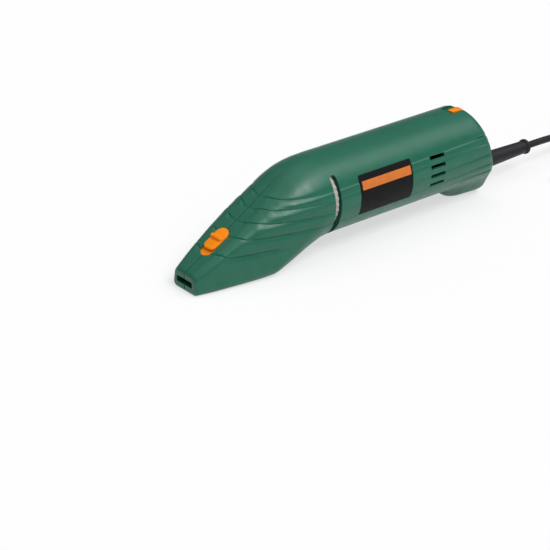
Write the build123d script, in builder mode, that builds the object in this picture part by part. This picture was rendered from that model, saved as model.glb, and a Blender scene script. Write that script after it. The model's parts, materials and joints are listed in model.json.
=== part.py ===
from build123d import *
from math import atan2, cos, degrees, dist, pi, radians, sin, sqrt, tan
import os

os.makedirs("parts", exist_ok=True)

# Electric hand scraper: a wedge nose that takes a blade, a round motor barrel and a lead.
# Millimetres. The nose points to -X, the lead leaves at +X, the floor is z = 0.

# Housing
axis_height = 42.0  # motor axis above the floor
barrel_radius = 31.0
wall = 2.8
tip_x = -141.0
nose_length = 120.5
tip_half_width = 11.4
tip_height = 14.6
tip_corner = 4.5
sole_corner = 4.0
least_flat = 0.3  # shortest straight side of a nose section
cavity_share = 0.67  # where the hollow starts between the tip and the first station
rear_x = 133.1  # rear face at the height of the motor axis
rear_lean = 13.0
rear_rounding = 7.0
heel_x = 102.5
heel_radius = 10.0
heel_shoulder = 25.0
heel_end_radius = 24.0  # the heel widens towards its rear end
heel_end_shoulder = 30.0
heel_rounding = 8.0

# Nose stations: share of the length, then of the way from tip to barrel in
# half width, top, underside, upper corner and lower corner
nose_stations = [
    (0.0, 0.0, 0.0, 0.0, 0.0, 0.0),
    (0.112, 0.163, 0.134, 0.0, 0.02, 0.02),
    (0.2365, 0.306, 0.284, 0.0, 0.057, 0.056),
    (0.4025, 0.49, 0.485, 0.0, 0.19, 0.11),
    (0.5187, 0.628, 0.635, 0.02, 0.40, 0.17),
    (0.61, 0.73, 0.753, 0.2, 0.594, 0.338),
    (0.718, 0.847, 0.887, 0.51, 0.785, 0.564),
    (0.8174, 0.939, 0.964, 0.78, 0.92, 0.79),
    (0.917, 0.985, 0.995, 0.955, 0.985, 0.959),
    (1.0, 1.0, 1.0, 1.0, 1.0, 1.0),
]

# Openings in the housing, with angles measured up from the left side of the barrel
vent_x = 66.0
vent_length = 14.5
vent_height = 2.5
vent_count = 4
vent_top_angle = 23.5
vent_pitch_angle = 13.5
slit_low_angle = -62.0
slit_high_angle = 45.0
plate_x = -3.7
plate_length = 51.1
plate_low_angle = -24.5
plate_high_angle = 31.0
plate_thickness = 0.4
plate_gap = 0.15

# Screws that hold the housing halves together, as (x, z)
boss_places = [(-92.0, 30.0), (-52.0, 55.0), (-50.0, 15.0), (96.0, 62.0), (96.0, 20.0)]
boss_radius = 5.0
screw_radius = 1.5
screw_head_radius = 3.0
screw_head_height = 2.4
screw_seat_y = 10.0
screw_depth = 12.0

# Clearances
fit = 0.02  # shafts in their holes, pressed seats
slide_gap = 0.3  # faces that slide past each other
seat_gap = 0.2  # fixed pieces in their seats

# Speed dial, on an axis that is offset towards the left side
dial_x = -24.85
dial_width = 4.7
dial_sink = 0.5  # how far the rim stays inside the barrel's surface
dial_rim = 7.8
dial_offset = 5.3
dial_offset_angle = 12.0
dial_ribs = 34
dial_groove_radius = 1.1
dial_side_gap = 0.5
dial_run = 0.1
track_thickness = 0.7
track_margin = 0.3

# Motor
bearing_radius = 8.0
bearing_width = 6.0
race_width = 1.6
shield_depth = 0.5
journal_radius = 3.0
shaft_radius = 4.0
bracket_thickness = 3.0
bracket_holes = 5
bracket_hole_radius = 3.2
bracket_hole_start = -48.0
bracket_hole_spread = 120.0
bracket_rim = 2.2
stator_x = 11.0
stator_length = 40.0
stator_ring = 6.4
pole_lip = 0.8  # how far a pole stands in past its coil
pole_half_angle = 38.0
coil_half_angle = 78.0
coil_overhang = 7.0
coil_thickness = 4.2
coil_gap_angle = 1.5
air_gap = 0.6
rotor_slots = 12
rotor_slot_depth = 5.5
rotor_slot_width = 2.4
winding_length = 7.8
winding_step = 1.6  # how far the windings stay inside the core
winding_rounding = 2.5
commutator_x = 61.0
commutator_length = 14.0
commutator_radius = 10.5
bar_slot_depth = 0.6
bar_slot_width = 0.5
fan_x = -17.4
fan_depth = 7.4
fan_gap = 4.2
fan_disc = 1.6
fan_hub_wall = 3.0
fan_blades = 9
fan_blade_thickness = 1.6
fan_blade_margin = 2.0
fan_blade_turn = 25.0
brush_side = 5.0
brush_length = 8.2
brush_gap = 0.25
holder_side = 8.0
holder_start = 1.7
holder_cap = 1.2
brush_spring_radius = 1.8
brush_spring_wire = 0.3
spring_turns = 5
web_thickness = 8.0
web_x = 81.5
shaft_hole_gap = 2.0

# Drive from the motor to the ram
gear_module = 0.9
pinion_teeth = 10
cam_gear_teeth = 24
gear_addendum = 0.85
gear_dedendum = 1.1
tooth_root_share = 0.27  # half a tooth's width at its root, as a share of the pitch
tooth_tip_share = 0.11
gear_width = 5.5
pinion_phase = -90.0  # one tooth points down at the cam gear
gear_plate_thickness = 3.5
gear_plate_clearance = 0.9
pinion_shaft_radius = 2.5
bush_radius = 5.5
cam_shaft_radius = 3.0
cam_x = -66.0
cam_width = 6.0
cam_radius = 10.0
cam_lobe_inner = 5.5
cam_lobe_height = 2.0
cam_lobe_half_angle = 30.0
nose_web_x = -84.0
nose_web_thickness = 4.0
plate_screws = 3
plate_screw_wall = 3.7
plate_screw_start = 110.0
plate_screw_spread = 210.0
plate_screw_radius = 1.2
plate_screw_head_radius = 2.1
plate_screw_head = 1.5

# Ram, its guide and the blade socket
slot_width = 17.6
slot_height = 4.6
slot_z = 7.5
guide_wall_side = 1.6
guide_wall_top = 1.5
guide_wall_floor = 2.2
guide_end_x = -112.0
ram_half_width = 8.0
ram_thickness = 4.4
ram_front_x = -111.4
ram_upright = 4.0
ram_height = 36.0
ram_travel = 2.2
ram_block_x = -104.0
ram_block_length = 14.0
ram_block_wall = 3.5
ram_spring_z = 13.2
ram_spring_radius = 2.3
ram_spring_wire = 0.4
spring_rib_height = 17.0
spring_rib_thickness = 3.0

# Blade lock: a slide on the slope of the nose pushes a pin down
slider_x = -113.8
opening_length = 25.0
opening_width = 12.0
button_length = 18.2
button_height = 1.6
ridge_thickness = 3.0
ridge_width = 10.6
ridge_height = 2.8
ridge_place = 0.4
ridge_root = 0.5
ridge_corner = 1.4
ridge_rounding = 0.9
button_rounding = 1.0
slide_plate = 1.4
slide_plate_width = 15.0
slide_plate_margin = 1.0
slide_plate_corner = 3.0
lock_travel = 5.5
lock_x = -119.0
lock_pin_radius = 2.4
lock_head_radius = 4.0
lock_head_z = 17.0
lock_head_height = 1.8
fork_half_width = 6.5
fork_front = 5.5
fork_rear = 8.5
fork_bottom = 14.7

# Power switch, which slides forward in a recess that is open to the rear
switch_x = 113.1
switch_length = 10.4
switch_half_width = 2.9
switch_height = 1.1
switch_travel = 4.0
switch_ribs = 3
switch_rib_width = 0.8
switch_rib_depth = 0.4
switch_corner = 1.0
recess_half_width = 7.5
recess_depth = 2.7
pad_thickness = 2.5
pad_margin = 2.0
stem_length = 4.5
stem_half_width = 1.8
stem_depth = 5.5
switch_body_length = 22.0
switch_body_half_width = 7.0
switch_body_height = 16.5

# Control board
board_x = 92.5
board_length = 30.0
board_z = 33.0
board_thickness = 1.6
capacitor_length = 14.0
capacitor_width = 9.0
capacitor_height = 11.0
sink_length = 14.0
sink_thickness = 2.0
sink_height = 13.0
regulator_length = 9.8
regulator_depth = 4.4
choke_radius = 3.4
choke_length = 10.0

# Lead
lead_radius = 2.8
lead_z = 19.5
relief_end_x = 200.0
relief_radius = 6.1
relief_end_radius = 5.1
relief_lip = 3.5
relief_collar_radius = 8.0
relief_collar = 2.6
lead_start_x = 112.0
clamp_x = 117.0
clamp_length = 8.0
clamp_half_width = 11.0
clamp_thickness = 3.4
clamp_corner = 1.5
clamp_screw_y = 8.0
lead_route = [
    (200.0, 0.0, 19.5),
    (233.0, 0.0, 19.5),
    (258.0, 7.5, 10.8),
    (281.0, 18.6, 4.6),
    (301.0, 28.4, 3.8),
    (320.4, 28.4, 3.8),
]
bend_share = 0.45  # share of a run that the bend at each end takes
coil_x = 326.0
coil_inner_radius_line = 23.0
coil_turns = 2  # turns in each layer
coil_layers = 4
coil_pitch = 7.2
coil_rise = 6.7
sample_step = 3.0  # between the points that the coil's gap is measured on
tie_thickness = 0.7
tie_width = 8.0
tie_gap = 0.7
tail_runs = (22.8, 22.8, 22.8)
plug_nose = 8.0
plug_length = 30.0
plug_half_width = 17.6
plug_half_height = 9.2
plug_flat = 1.5
plug_chamfer = 1.2
plug_neck_wall = 1.4
plug_root_wall = 3.2
plug_overlap = 0.5
pin_radius = 2.4
pin_spacing = 19.0
pin_length = 19.0
pin_rounding = 1.4

# Places worked out from the sizes above
barrel_x = tip_x + nose_length
bore_radius = barrel_radius - wall
lean = radians(rear_lean)
rear_plane = Plane(origin=(rear_x, 0, axis_height), x_dir=(0, 1, 0), z_dir=(cos(lean), 0, sin(lean)))
far = 4 * barrel_radius + nose_length


def mix(low, high, share):
    return low + (high - low) * share


def nose_top(x):
    """Height of the nose's upper line at a place along X."""
    share = (x - tip_x) / nose_length
    for before, after in zip(nose_stations, nose_stations[1:]):
        if share <= after[0]:
            part = (share - before[0]) / (after[0] - before[0])
            level = mix(before[2], after[2], part)
            return mix(tip_height, axis_height + barrel_radius, level)
    return axis_height + barrel_radius


def nose_section(station, inset=0.0):
    """Rounded section of the nose, or of its hollow where an inset is given."""
    share, width_share, top_share, floor_share, crown_share, sole_share = station
    half = mix(tip_half_width, barrel_radius, width_share) - inset
    top = mix(tip_height, axis_height + barrel_radius, top_share) - inset
    floor = mix(0.0, axis_height - barrel_radius, floor_share) + inset
    crown = mix(tip_corner, barrel_radius - least_flat, crown_share) - inset
    sole = mix(sole_corner, barrel_radius - least_flat, sole_share) - inset
    with BuildSketch(Plane.YZ.offset(tip_x + share * nose_length)) as section:
        with BuildLine():
            CenterArc((half - crown, top - crown), crown, 0, 90)
            Line((half - crown, top), (crown - half, top))
            CenterArc((crown - half, top - crown), crown, 90, 90)
            Line((-half, top - crown), (-half, floor + sole))
            CenterArc((sole - half, floor + sole), sole, 180, 90)
            Line((sole - half, floor), (half - sole, floor))
            CenterArc((half - sole, floor + sole), sole, 270, 90)
            Line((half, floor + sole), (half, top - crown))
        make_face()
    return section.sketch


def sector(x, inner, outer, low, high):
    """Part of a ring round the motor axis, between two angles from +Y."""
    with BuildSketch(Plane.YZ.offset(x)) as ring_part:
        with BuildLine():
            for radius in (inner, outer):
                CenterArc((0, axis_height), radius, low, high - low)
            for angle in (low, high):
                way = (cos(radians(angle)), sin(radians(angle)))
                Line(
                    (inner * way[0], axis_height + inner * way[1]),
                    (outer * way[0], axis_height + outer * way[1]),
                )
        make_face()
    return ring_part.sketch


def left_sector(x, inner, outer, low, high):
    """The same, with angles measured up from the left side, -Y."""
    return sector(x, inner, outer, 180 - high, 180 - low)


def gear_face(x, centre_z, teeth, phase):
    """Straight-sided gear teeth round an axis along X, one tooth at the phase angle."""
    pitch_radius = gear_module * teeth / 2
    step = 360 / teeth
    corners = []
    for tooth in range(teeth):
        for radius, share in (
            (pitch_radius - gear_dedendum, -tooth_root_share),
            (pitch_radius + gear_addendum, -tooth_tip_share),
            (pitch_radius + gear_addendum, tooth_tip_share),
            (pitch_radius - gear_dedendum, tooth_root_share),
        ):
            angle = radians(phase + step * (tooth + share))
            corners.append((radius * cos(angle), centre_z + radius * sin(angle)))
    with BuildSketch(Plane.YZ.offset(x)) as face:
        with BuildLine():
            Polyline(*corners, close=True)
        make_face()
    return face.sketch


def biarc(start, start_way, end, end_way):
    """Middle point and middle direction of the two arcs that join two tangents."""
    across = end - start
    bend = 2 * (1 - start_way.dot(end_way))
    reach = across.dot(start_way + end_way)
    length = (sqrt(reach * reach + bend * across.dot(across)) - reach) / bend
    first = start + start_way * length
    second = end - end_way * length
    return (first + second) * 0.5, (second - first).normalized()


def save(piece, name):
    piece.part.label = name
    export_step(piece.part, f"parts/{name}.step")


# Outer form: nose, barrel and heel
with BuildPart() as nose:
    loft(sections=[nose_section(station) for station in nose_stations], ruled=True)

with BuildPart() as barrel:
    with BuildSketch(Plane.YZ.offset(barrel_x)):
        with Locations((0, axis_height)):
            Circle(barrel_radius)
    extrude(amount=far)
    split(bisect_by=rear_plane, keep=Keep.BOTTOM)
    fillet(barrel.faces().sort_by(Axis.X)[-1].edges(), rear_rounding)


def heel_face(x, radius, shoulder, inset=0.0):
    """Section of the heel, from a round underside up to shoulders at the motor axis."""
    with BuildSketch(Plane.YZ.offset(x)) as face:
        with BuildLine():
            CenterArc((0, radius), radius - inset, 180, 180)
            Line((inset - shoulder, axis_height), (shoulder - inset, axis_height))
        make_hull()
    return face.sketch


heel_end_x = rear_x + axis_height * tan(lean) + wall
with BuildPart() as heel:
    loft(
        sections=[
            heel_face(heel_x, heel_radius, heel_shoulder),
            heel_face(heel_end_x, heel_end_radius, heel_end_shoulder),
        ],
        ruled=True,
    )
    split(bisect_by=rear_plane, keep=Keep.BOTTOM)
    fillet(heel.faces().sort_by(Axis.X)[0].edges(), heel_rounding)
    fillet(heel.faces().sort_by(Axis.X)[-1].edges(), rear_rounding)

with BuildPart() as outer:
    add(nose.part)
    add(barrel.part)
    add(heel.part)

# Hollow inside the housing
cavity_front = tuple(value * cavity_share for value in nose_stations[1])
cavity_x = tip_x + cavity_front[0] * nose_length
with BuildPart() as cavity:
    loft(
        sections=[nose_section(station, wall) for station in [cavity_front, *nose_stations[1:]]],
        ruled=True,
    )
    with BuildSketch(Plane.YZ.offset(barrel_x)):
        with Locations((0, axis_height)):
            Circle(bore_radius)
    extrude(amount=far)
    heel_hollow_x = heel_x + wall + heel_rounding / 2
    extrude(heel_face(heel_hollow_x, heel_radius, heel_shoulder, wall), amount=far)
    split(bisect_by=rear_plane.offset(-wall), keep=Keep.BOTTOM)

# Places along the drive
dial_front = dial_x - dial_width / 2
dial_rear = dial_x + dial_width / 2
dial_y = -dial_offset * cos(radians(dial_offset_angle))
dial_z = axis_height + dial_offset * sin(radians(dial_offset_angle))
dial_radius = barrel_radius - dial_offset - dial_sink
dial_bore_radius = dial_radius - dial_rim
track_radius = bore_radius - dial_offset - track_margin
hub_radius = dial_bore_radius - dial_run
plate_screw_ring = hub_radius - plate_screw_wall
bracket_hole_ring = bore_radius - slide_gap - bracket_rim - bracket_hole_radius
bracket_x = dial_rear + seat_gap + track_thickness
hub_x = bracket_x - bearing_width - slide_gap
gear_plate_x = hub_x - gear_plate_thickness
gear_x = gear_plate_x - plate_screw_head - gear_plate_clearance - gear_width
gear_distance = gear_module * (pinion_teeth + cam_gear_teeth) / 2
cam_axis_z = axis_height - gear_distance
ram_rear_x = cam_x - cam_lobe_height - slide_gap - ram_travel
spring_rib_x = cam_x + cam_width + slide_gap + seat_gap
rear_bearing_x = web_x + (web_thickness - bearing_width) / 2
shaft_end_x = rear_bearing_x + bearing_width
saddle_top = lead_z - lead_radius - seat_gap
recess_floor = axis_height + barrel_radius - recess_depth
pad_bottom = recess_floor - pad_thickness
recess_x = switch_x - switch_travel - slide_gap
recess_end_x = rear_x
stem_x = switch_x + (switch_length - stem_length + switch_travel) / 2
stem_slot_x = stem_x - switch_travel - slide_gap
stem_slot_length = stem_length + switch_travel + 2 * slide_gap
switch_body_end = rear_x - (pad_bottom - axis_height) * tan(lean) - wall / cos(lean) - slide_gap
switch_body_x = switch_body_end - switch_body_length

# Slope of the nose where the blade lock slides
slope_run = nose_length * (nose_stations[3][0] - nose_stations[1][0])
slope_rise = nose_top(tip_x + nose_stations[3][0] * nose_length)
slope_rise -= nose_top(tip_x + nose_stations[1][0] * nose_length)
slope = atan2(slope_rise, slope_run)
roof = wall * cos(slope)
slider_plane = Plane(
    origin=(slider_x, 0, nose_top(slider_x)),
    x_dir=(cos(slope), 0, sin(slope)),
    z_dir=(-sin(slope), 0, cos(slope)),
)

# Ribs, webs and screw bosses moulded inside the housing
with BuildPart() as ribs:
    with BuildSketch(Plane.YZ.offset(web_x)):
        with Locations((0, axis_height)):
            Circle(barrel_radius)
            Circle(journal_radius + shaft_hole_gap, mode=Mode.SUBTRACT)
    extrude(amount=web_thickness)
    with BuildSketch(Plane.YZ.offset(nose_web_x)):
        with Locations((0, axis_height)):
            Rectangle(2 * barrel_radius, 2 * axis_height)
        with Locations((0, cam_axis_z)):
            Circle(bush_radius, mode=Mode.SUBTRACT)
        with Locations((0, slot_z)):
            Rectangle(
                2 * (ram_half_width + 2 * slide_gap),
                ram_thickness + 4 * slide_gap,
                mode=Mode.SUBTRACT,
            )
    extrude(amount=nose_web_thickness)
    with BuildSketch(Plane.YZ.offset(spring_rib_x)):
        with Locations((0, spring_rib_height / 2)):
            Rectangle(2 * ram_half_width, spring_rib_height)
    extrude(amount=spring_rib_thickness)
    with BuildSketch(Plane.YZ.offset(clamp_x)):
        with Locations((0, saddle_top / 2)):
            Rectangle(2 * clamp_half_width, saddle_top)
    extrude(amount=clamp_length)
    with BuildSketch(Plane.XY.offset(pad_bottom)):
        with Locations(((recess_x + recess_end_x) / 2, 0)):
            Rectangle(
                recess_end_x - recess_x + 2 * pad_margin,
                2 * (recess_half_width + pad_margin),
            )
    extrude(amount=barrel_radius)
    with BuildSketch(Plane.XZ):
        with Locations(*boss_places):
            Circle(boss_radius)
    extrude(amount=barrel_radius, both=True)
    with BuildSketch(Plane.YZ.offset(rear_bearing_x)):
        with Locations((0, axis_height)):
            Circle(bearing_radius)
    extrude(amount=bearing_width, mode=Mode.SUBTRACT)

with BuildPart() as hollow:
    add(cavity.part)
    add(ribs.part, mode=Mode.SUBTRACT)

# Every hole and recess that goes through both halves or either one
with BuildPart() as cut_outs:
    with BuildSketch(Plane.YZ.offset(cavity_x + slide_gap)):
        with Locations((0, slot_z)):
            Rectangle(slot_width, slot_height)
    extrude(amount=-far)
    with BuildSketch(slider_plane.offset(-roof - wall)):
        SlotOverall(opening_length, opening_width)
    extrude(amount=roof + 2 * wall)
    with BuildSketch(Plane.XY.offset(recess_floor)):
        with Locations(((recess_x + recess_end_x) / 2, 0)):
            RectangleRounded(recess_end_x - recess_x, 2 * recess_half_width, wall)
    extrude(amount=barrel_radius)
    with BuildSketch(Plane.XY.offset(pad_bottom - slide_gap)):
        with Locations((stem_slot_x + stem_slot_length / 2, 0)):
            Rectangle(stem_slot_length, 2 * (stem_half_width + slide_gap))
    extrude(amount=barrel_radius)
    with BuildSketch(Plane.YZ.offset(rear_x - barrel_radius / 2)):
        with Locations((0, lead_z)):
            Circle(relief_radius + slide_gap)
    extrude(amount=far)
    with BuildSketch(Plane.XY.offset(saddle_top)):
        with Locations((clamp_x + clamp_length / 2, 0)):
            with GridLocations(0, 2 * clamp_screw_y, 1, 2):
                Circle(screw_radius + fit)
    extrude(amount=-screw_depth)
    with BuildSketch(Plane.XZ.offset(screw_depth + seat_gap)):
        with Locations(*boss_places):
            Circle(screw_radius + fit)
    extrude(amount=-far)
    with BuildSketch(Plane.XZ.offset(-screw_seat_y)):
        with Locations(*boss_places):
            Circle(screw_head_radius + slide_gap)
    extrude(amount=-far)
    for row in range(vent_count):
        middle = vent_top_angle - row * vent_pitch_angle
        half = degrees(vent_height / 2 / barrel_radius)
        vent = (vent_x, bore_radius - slide_gap, barrel_radius + wall)
        extrude(left_sector(*vent, middle - half, middle + half), amount=vent_length)
        extrude(sector(*vent, middle - half, middle + half), amount=vent_length)


def housing_half(side):
    """One half of the shell, parted along the middle plane."""
    with BuildPart() as half:
        add(outer.part)
        with BuildSketch(Plane.XZ):
            Rectangle(4 * far, 4 * far)
        extrude(amount=side * far, mode=Mode.INTERSECT)
        add(hollow.part, mode=Mode.SUBTRACT)
        add(cut_outs.part, mode=Mode.SUBTRACT)
    return half


# Left half: slit for the dial and the bed of the name plate
slit_x = dial_front - dial_side_gap
slit_width = dial_width + 2 * dial_side_gap
with BuildPart() as housing_left:
    add(housing_half(1).part)
    slit = left_sector(slit_x, bore_radius - wall, barrel_radius + wall, slit_low_angle, slit_high_angle)
    extrude(slit, amount=slit_width, mode=Mode.SUBTRACT)
    with BuildSketch(Plane.YZ.offset(slit_x)):
        with Locations((dial_y, dial_z)):
            Circle(dial_radius + slide_gap)
    extrude(amount=slit_width, mode=Mode.SUBTRACT)
    bed = left_sector(
        plate_x, barrel_radius - plate_thickness, barrel_radius + wall, plate_low_angle, plate_high_angle
    )
    extrude(bed, amount=plate_length, mode=Mode.SUBTRACT)
save(housing_left, "housing_left")

save(housing_half(-1), "housing_right")

with BuildPart() as housing_screws:
    with BuildSketch(Plane.XZ.offset(-screw_seat_y)):
        with Locations(*boss_places):
            Circle(screw_head_radius)
    extrude(amount=-screw_head_height)
    with BuildSketch(Plane.XZ.offset(-screw_seat_y)):
        with Locations(*boss_places):
            Circle(screw_radius)
    extrude(amount=screw_seat_y + screw_depth)
save(housing_screws, "housing_screws")

gap_angle = degrees(plate_gap / barrel_radius)
with BuildPart() as name_plate:
    plate = left_sector(
        plate_x + plate_gap,
        barrel_radius - plate_thickness + fit,
        barrel_radius,
        plate_low_angle + gap_angle,
        plate_high_angle - gap_angle,
    )
    extrude(plate, amount=plate_length - 2 * plate_gap)
save(name_plate, "name_plate")

# Speed dial and what carries it
with BuildPart() as speed_dial:
    with BuildSketch(Plane.YZ.offset(dial_front)):
        with Locations((dial_y, dial_z)):
            Circle(dial_radius)
            Circle(dial_bore_radius, mode=Mode.SUBTRACT)
            with PolarLocations(dial_radius, dial_ribs):
                Circle(dial_groove_radius, mode=Mode.SUBTRACT)
    extrude(amount=dial_width)
save(speed_dial, "speed_dial")

with BuildPart() as dial_track:
    with BuildSketch(Plane.YZ.offset(bracket_x)):
        with Locations((dial_y, dial_z)):
            Circle(track_radius)
            Circle(dial_bore_radius + fit, mode=Mode.SUBTRACT)
    extrude(amount=-track_thickness)
save(dial_track, "dial_track")

with BuildPart() as motor_bracket:
    with BuildSketch(Plane.YZ.offset(bracket_x)):
        with Locations((0, axis_height)):
            Circle(bore_radius - slide_gap)
            Circle(journal_radius + shaft_hole_gap, mode=Mode.SUBTRACT)
            with PolarLocations(bracket_hole_ring, bracket_holes, bracket_hole_start, bracket_hole_spread):
                Circle(bracket_hole_radius, mode=Mode.SUBTRACT)
    extrude(amount=bracket_thickness)
    with BuildSketch(Plane.YZ.offset(hub_x)):
        with Locations((dial_y, dial_z)):
            Circle(hub_radius)
        with Locations((0, axis_height)):
            Circle(journal_radius + shaft_hole_gap, mode=Mode.SUBTRACT)
    extrude(amount=bracket_x - hub_x)
    with BuildSketch(Plane.YZ.offset(hub_x)):
        with Locations((0, axis_height)):
            Circle(bearing_radius)
    extrude(amount=bearing_width, mode=Mode.SUBTRACT)
    with BuildSketch(Plane.YZ.offset(hub_x)):
        with Locations((dial_y, dial_z)):
            with PolarLocations(plate_screw_ring, plate_screws, plate_screw_start, plate_screw_spread):
                Circle(plate_screw_radius + fit)
    extrude(amount=bearing_width, mode=Mode.SUBTRACT)
save(motor_bracket, "motor_bracket")

with BuildPart() as gear_plate:
    with BuildSketch(Plane.YZ.offset(gear_plate_x)):
        with Locations((0, axis_height)):
            Circle(bore_radius - slide_gap - gear_plate_clearance)
            Circle(bearing_radius - shaft_hole_gap, mode=Mode.SUBTRACT)
        with Locations((0, cam_axis_z)):
            Circle(bush_radius, mode=Mode.SUBTRACT)
        with Locations((dial_y, dial_z)):
            with PolarLocations(plate_screw_ring, plate_screws, plate_screw_start, plate_screw_spread):
                Circle(plate_screw_radius + fit, mode=Mode.SUBTRACT)
    extrude(amount=gear_plate_thickness)
save(gear_plate, "gear_plate")

with BuildPart() as gear_plate_screws:
    with BuildSketch(Plane.YZ.offset(gear_plate_x)):
        with Locations((dial_y, dial_z)):
            with PolarLocations(plate_screw_ring, plate_screws, plate_screw_start, plate_screw_spread):
                Circle(plate_screw_head_radius)
    extrude(amount=-plate_screw_head)
    with BuildSketch(Plane.YZ.offset(gear_plate_x)):
        with Locations((dial_y, dial_z)):
            with PolarLocations(plate_screw_ring, plate_screws, plate_screw_start, plate_screw_spread):
                Circle(plate_screw_radius)
    extrude(amount=gear_plate_thickness + bearing_width - seat_gap)
save(gear_plate_screws, "gear_plate_screws")


def bearing(x):
    with BuildPart() as ring:
        with BuildSketch(Plane.YZ.offset(x)):
            with Locations((0, axis_height)):
                Circle(bearing_radius - fit)
                Circle(journal_radius + fit, mode=Mode.SUBTRACT)
        extrude(amount=bearing_width)
        with BuildSketch(Plane.YZ.offset(x)):
            with Locations((0, axis_height)):
                Circle(bearing_radius - race_width)
                Circle(journal_radius + race_width, mode=Mode.SUBTRACT)
        extrude(amount=shield_depth, mode=Mode.SUBTRACT)
    return ring


save(bearing(hub_x), "front_bearing")
save(bearing(rear_bearing_x), "rear_bearing")

# Stator
stator_outer = bore_radius - slide_gap
coil_outer_radius = stator_outer - stator_ring - slide_gap
coil_inner_radius = coil_outer_radius - coil_thickness
pole_radius = coil_inner_radius - pole_lip
with BuildPart() as stator_core:
    with BuildSketch(Plane.YZ.offset(stator_x)):
        with Locations((0, axis_height)):
            Circle(stator_outer)
            Circle(stator_outer - stator_ring, mode=Mode.SUBTRACT)
    extrude(amount=stator_length)
    for side in (0, 180):
        pole = sector(
            stator_x, pole_radius, stator_outer - wall, side - pole_half_angle, side + pole_half_angle
        )
        extrude(pole, amount=stator_length)
save(stator_core, "stator_core")

with BuildPart() as field_coils:
    for side in (0, 180):
        loop = sector(
            stator_x - coil_overhang,
            coil_inner_radius,
            coil_outer_radius,
            side - coil_half_angle,
            side + coil_half_angle,
        )
        extrude(loop, amount=stator_length + 2 * coil_overhang)
        window = sector(
            stator_x - slide_gap,
            pole_radius,
            stator_outer,
            side - pole_half_angle - coil_gap_angle,
            side + pole_half_angle + coil_gap_angle,
        )
        extrude(window, amount=stator_length + 2 * slide_gap, mode=Mode.SUBTRACT)
save(field_coils, "field_coils")

# Rotor
pinion_end_x = gear_x - slide_gap
with BuildPart() as armature_shaft:
    with BuildSketch(Plane.YZ.offset(pinion_end_x)):
        with Locations((0, axis_height)):
            Circle(pinion_shaft_radius)
    extrude(amount=hub_x - pinion_end_x)
    with BuildSketch(Plane.YZ.offset(hub_x)):
        with Locations((0, axis_height)):
            Circle(journal_radius)
    extrude(amount=shaft_end_x - hub_x)
    with BuildSketch(Plane.YZ.offset(fan_x)):
        with Locations((0, axis_height)):
            Circle(shaft_radius)
    extrude(amount=commutator_x + commutator_length + slide_gap - fan_x)
save(armature_shaft, "armature_shaft")

rotor_radius = pole_radius - air_gap
with BuildPart() as armature_core:
    with BuildSketch(Plane.YZ.offset(stator_x)):
        with Locations((0, axis_height)):
            Circle(rotor_radius)
            Circle(shaft_radius + fit, mode=Mode.SUBTRACT)
            with PolarLocations(rotor_radius, rotor_slots):
                Rectangle(2 * rotor_slot_depth, rotor_slot_width, mode=Mode.SUBTRACT)
    extrude(amount=stator_length)
save(armature_core, "armature_core")

winding_radius = rotor_radius - winding_step
with BuildPart() as armature_windings:
    for start in (stator_x - winding_length - seat_gap, stator_x + stator_length + seat_gap):
        with BuildSketch(Plane.YZ.offset(start)):
            with Locations((0, axis_height)):
                Circle(winding_radius)
                Circle(shaft_radius + fit, mode=Mode.SUBTRACT)
        extrude(amount=winding_length)
    rims = armature_windings.edges().filter_by(GeomType.CIRCLE).group_by(SortBy.RADIUS)[-1]
    fillet(rims, winding_rounding)
save(armature_windings, "armature_windings")

with BuildPart() as commutator:
    with BuildSketch(Plane.YZ.offset(commutator_x)):
        with Locations((0, axis_height)):
            Circle(commutator_radius)
            Circle(shaft_radius + fit, mode=Mode.SUBTRACT)
            with PolarLocations(commutator_radius, 2 * rotor_slots):
                Rectangle(2 * bar_slot_depth, bar_slot_width, mode=Mode.SUBTRACT)
    extrude(amount=commutator_length)
save(commutator, "commutator")

fan_radius = bore_radius - fan_gap
blade_length = fan_radius - shaft_radius - fan_blade_margin
with BuildPart() as cooling_fan:
    with BuildSketch(Plane.YZ.offset(fan_x)):
        with Locations((0, axis_height)):
            Circle(fan_radius)
            Circle(shaft_radius + fit, mode=Mode.SUBTRACT)
    extrude(amount=fan_disc)
    with BuildSketch(Plane.YZ.offset(fan_x)):
        with Locations((0, axis_height)):
            Circle(shaft_radius + fan_hub_wall)
            Circle(shaft_radius + fit, mode=Mode.SUBTRACT)
            with PolarLocations((fan_radius + shaft_radius) / 2, fan_blades):
                Rectangle(blade_length, fan_blade_thickness, rotation=fan_blade_turn)
    extrude(amount=fan_depth)
save(cooling_fan, "cooling_fan")

with BuildPart() as motor_pinion:
    extrude(gear_face(gear_x, axis_height, pinion_teeth, pinion_phase), amount=gear_width)
    with BuildSketch(Plane.YZ.offset(gear_x)):
        with Locations((0, axis_height)):
            Circle(pinion_shaft_radius + fit)
    extrude(amount=gear_width, mode=Mode.SUBTRACT)
save(motor_pinion, "motor_pinion")

# Brush gear above and below the commutator
brush_x = commutator_x + commutator_length / 2
brush_start = commutator_radius + brush_gap
holder_end = bore_radius - slide_gap
with BuildPart() as brush_holders:
    for side in (1, -1):
        with BuildSketch(Plane.XY.offset(axis_height + side * (commutator_radius + holder_start))):
            with Locations((brush_x, 0)):
                Rectangle(holder_side, holder_side)
        extrude(amount=side * (holder_end - commutator_radius - holder_start - slide_gap))
        with BuildSketch(Plane.XY.offset(axis_height + side * brush_start)):
            with Locations((brush_x, 0)):
                Rectangle(brush_side + 2 * seat_gap, brush_side + 2 * seat_gap)
        extrude(amount=side * (holder_end - holder_cap - brush_start), mode=Mode.SUBTRACT)
save(brush_holders, "brush_holders")

with BuildPart() as carbon_brushes:
    for side in (1, -1):
        with BuildSketch(Plane.XY.offset(axis_height + side * brush_start)):
            with Locations((brush_x, 0)):
                Rectangle(brush_side, brush_side)
        extrude(amount=side * brush_length)
save(carbon_brushes, "carbon_brushes")


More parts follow.
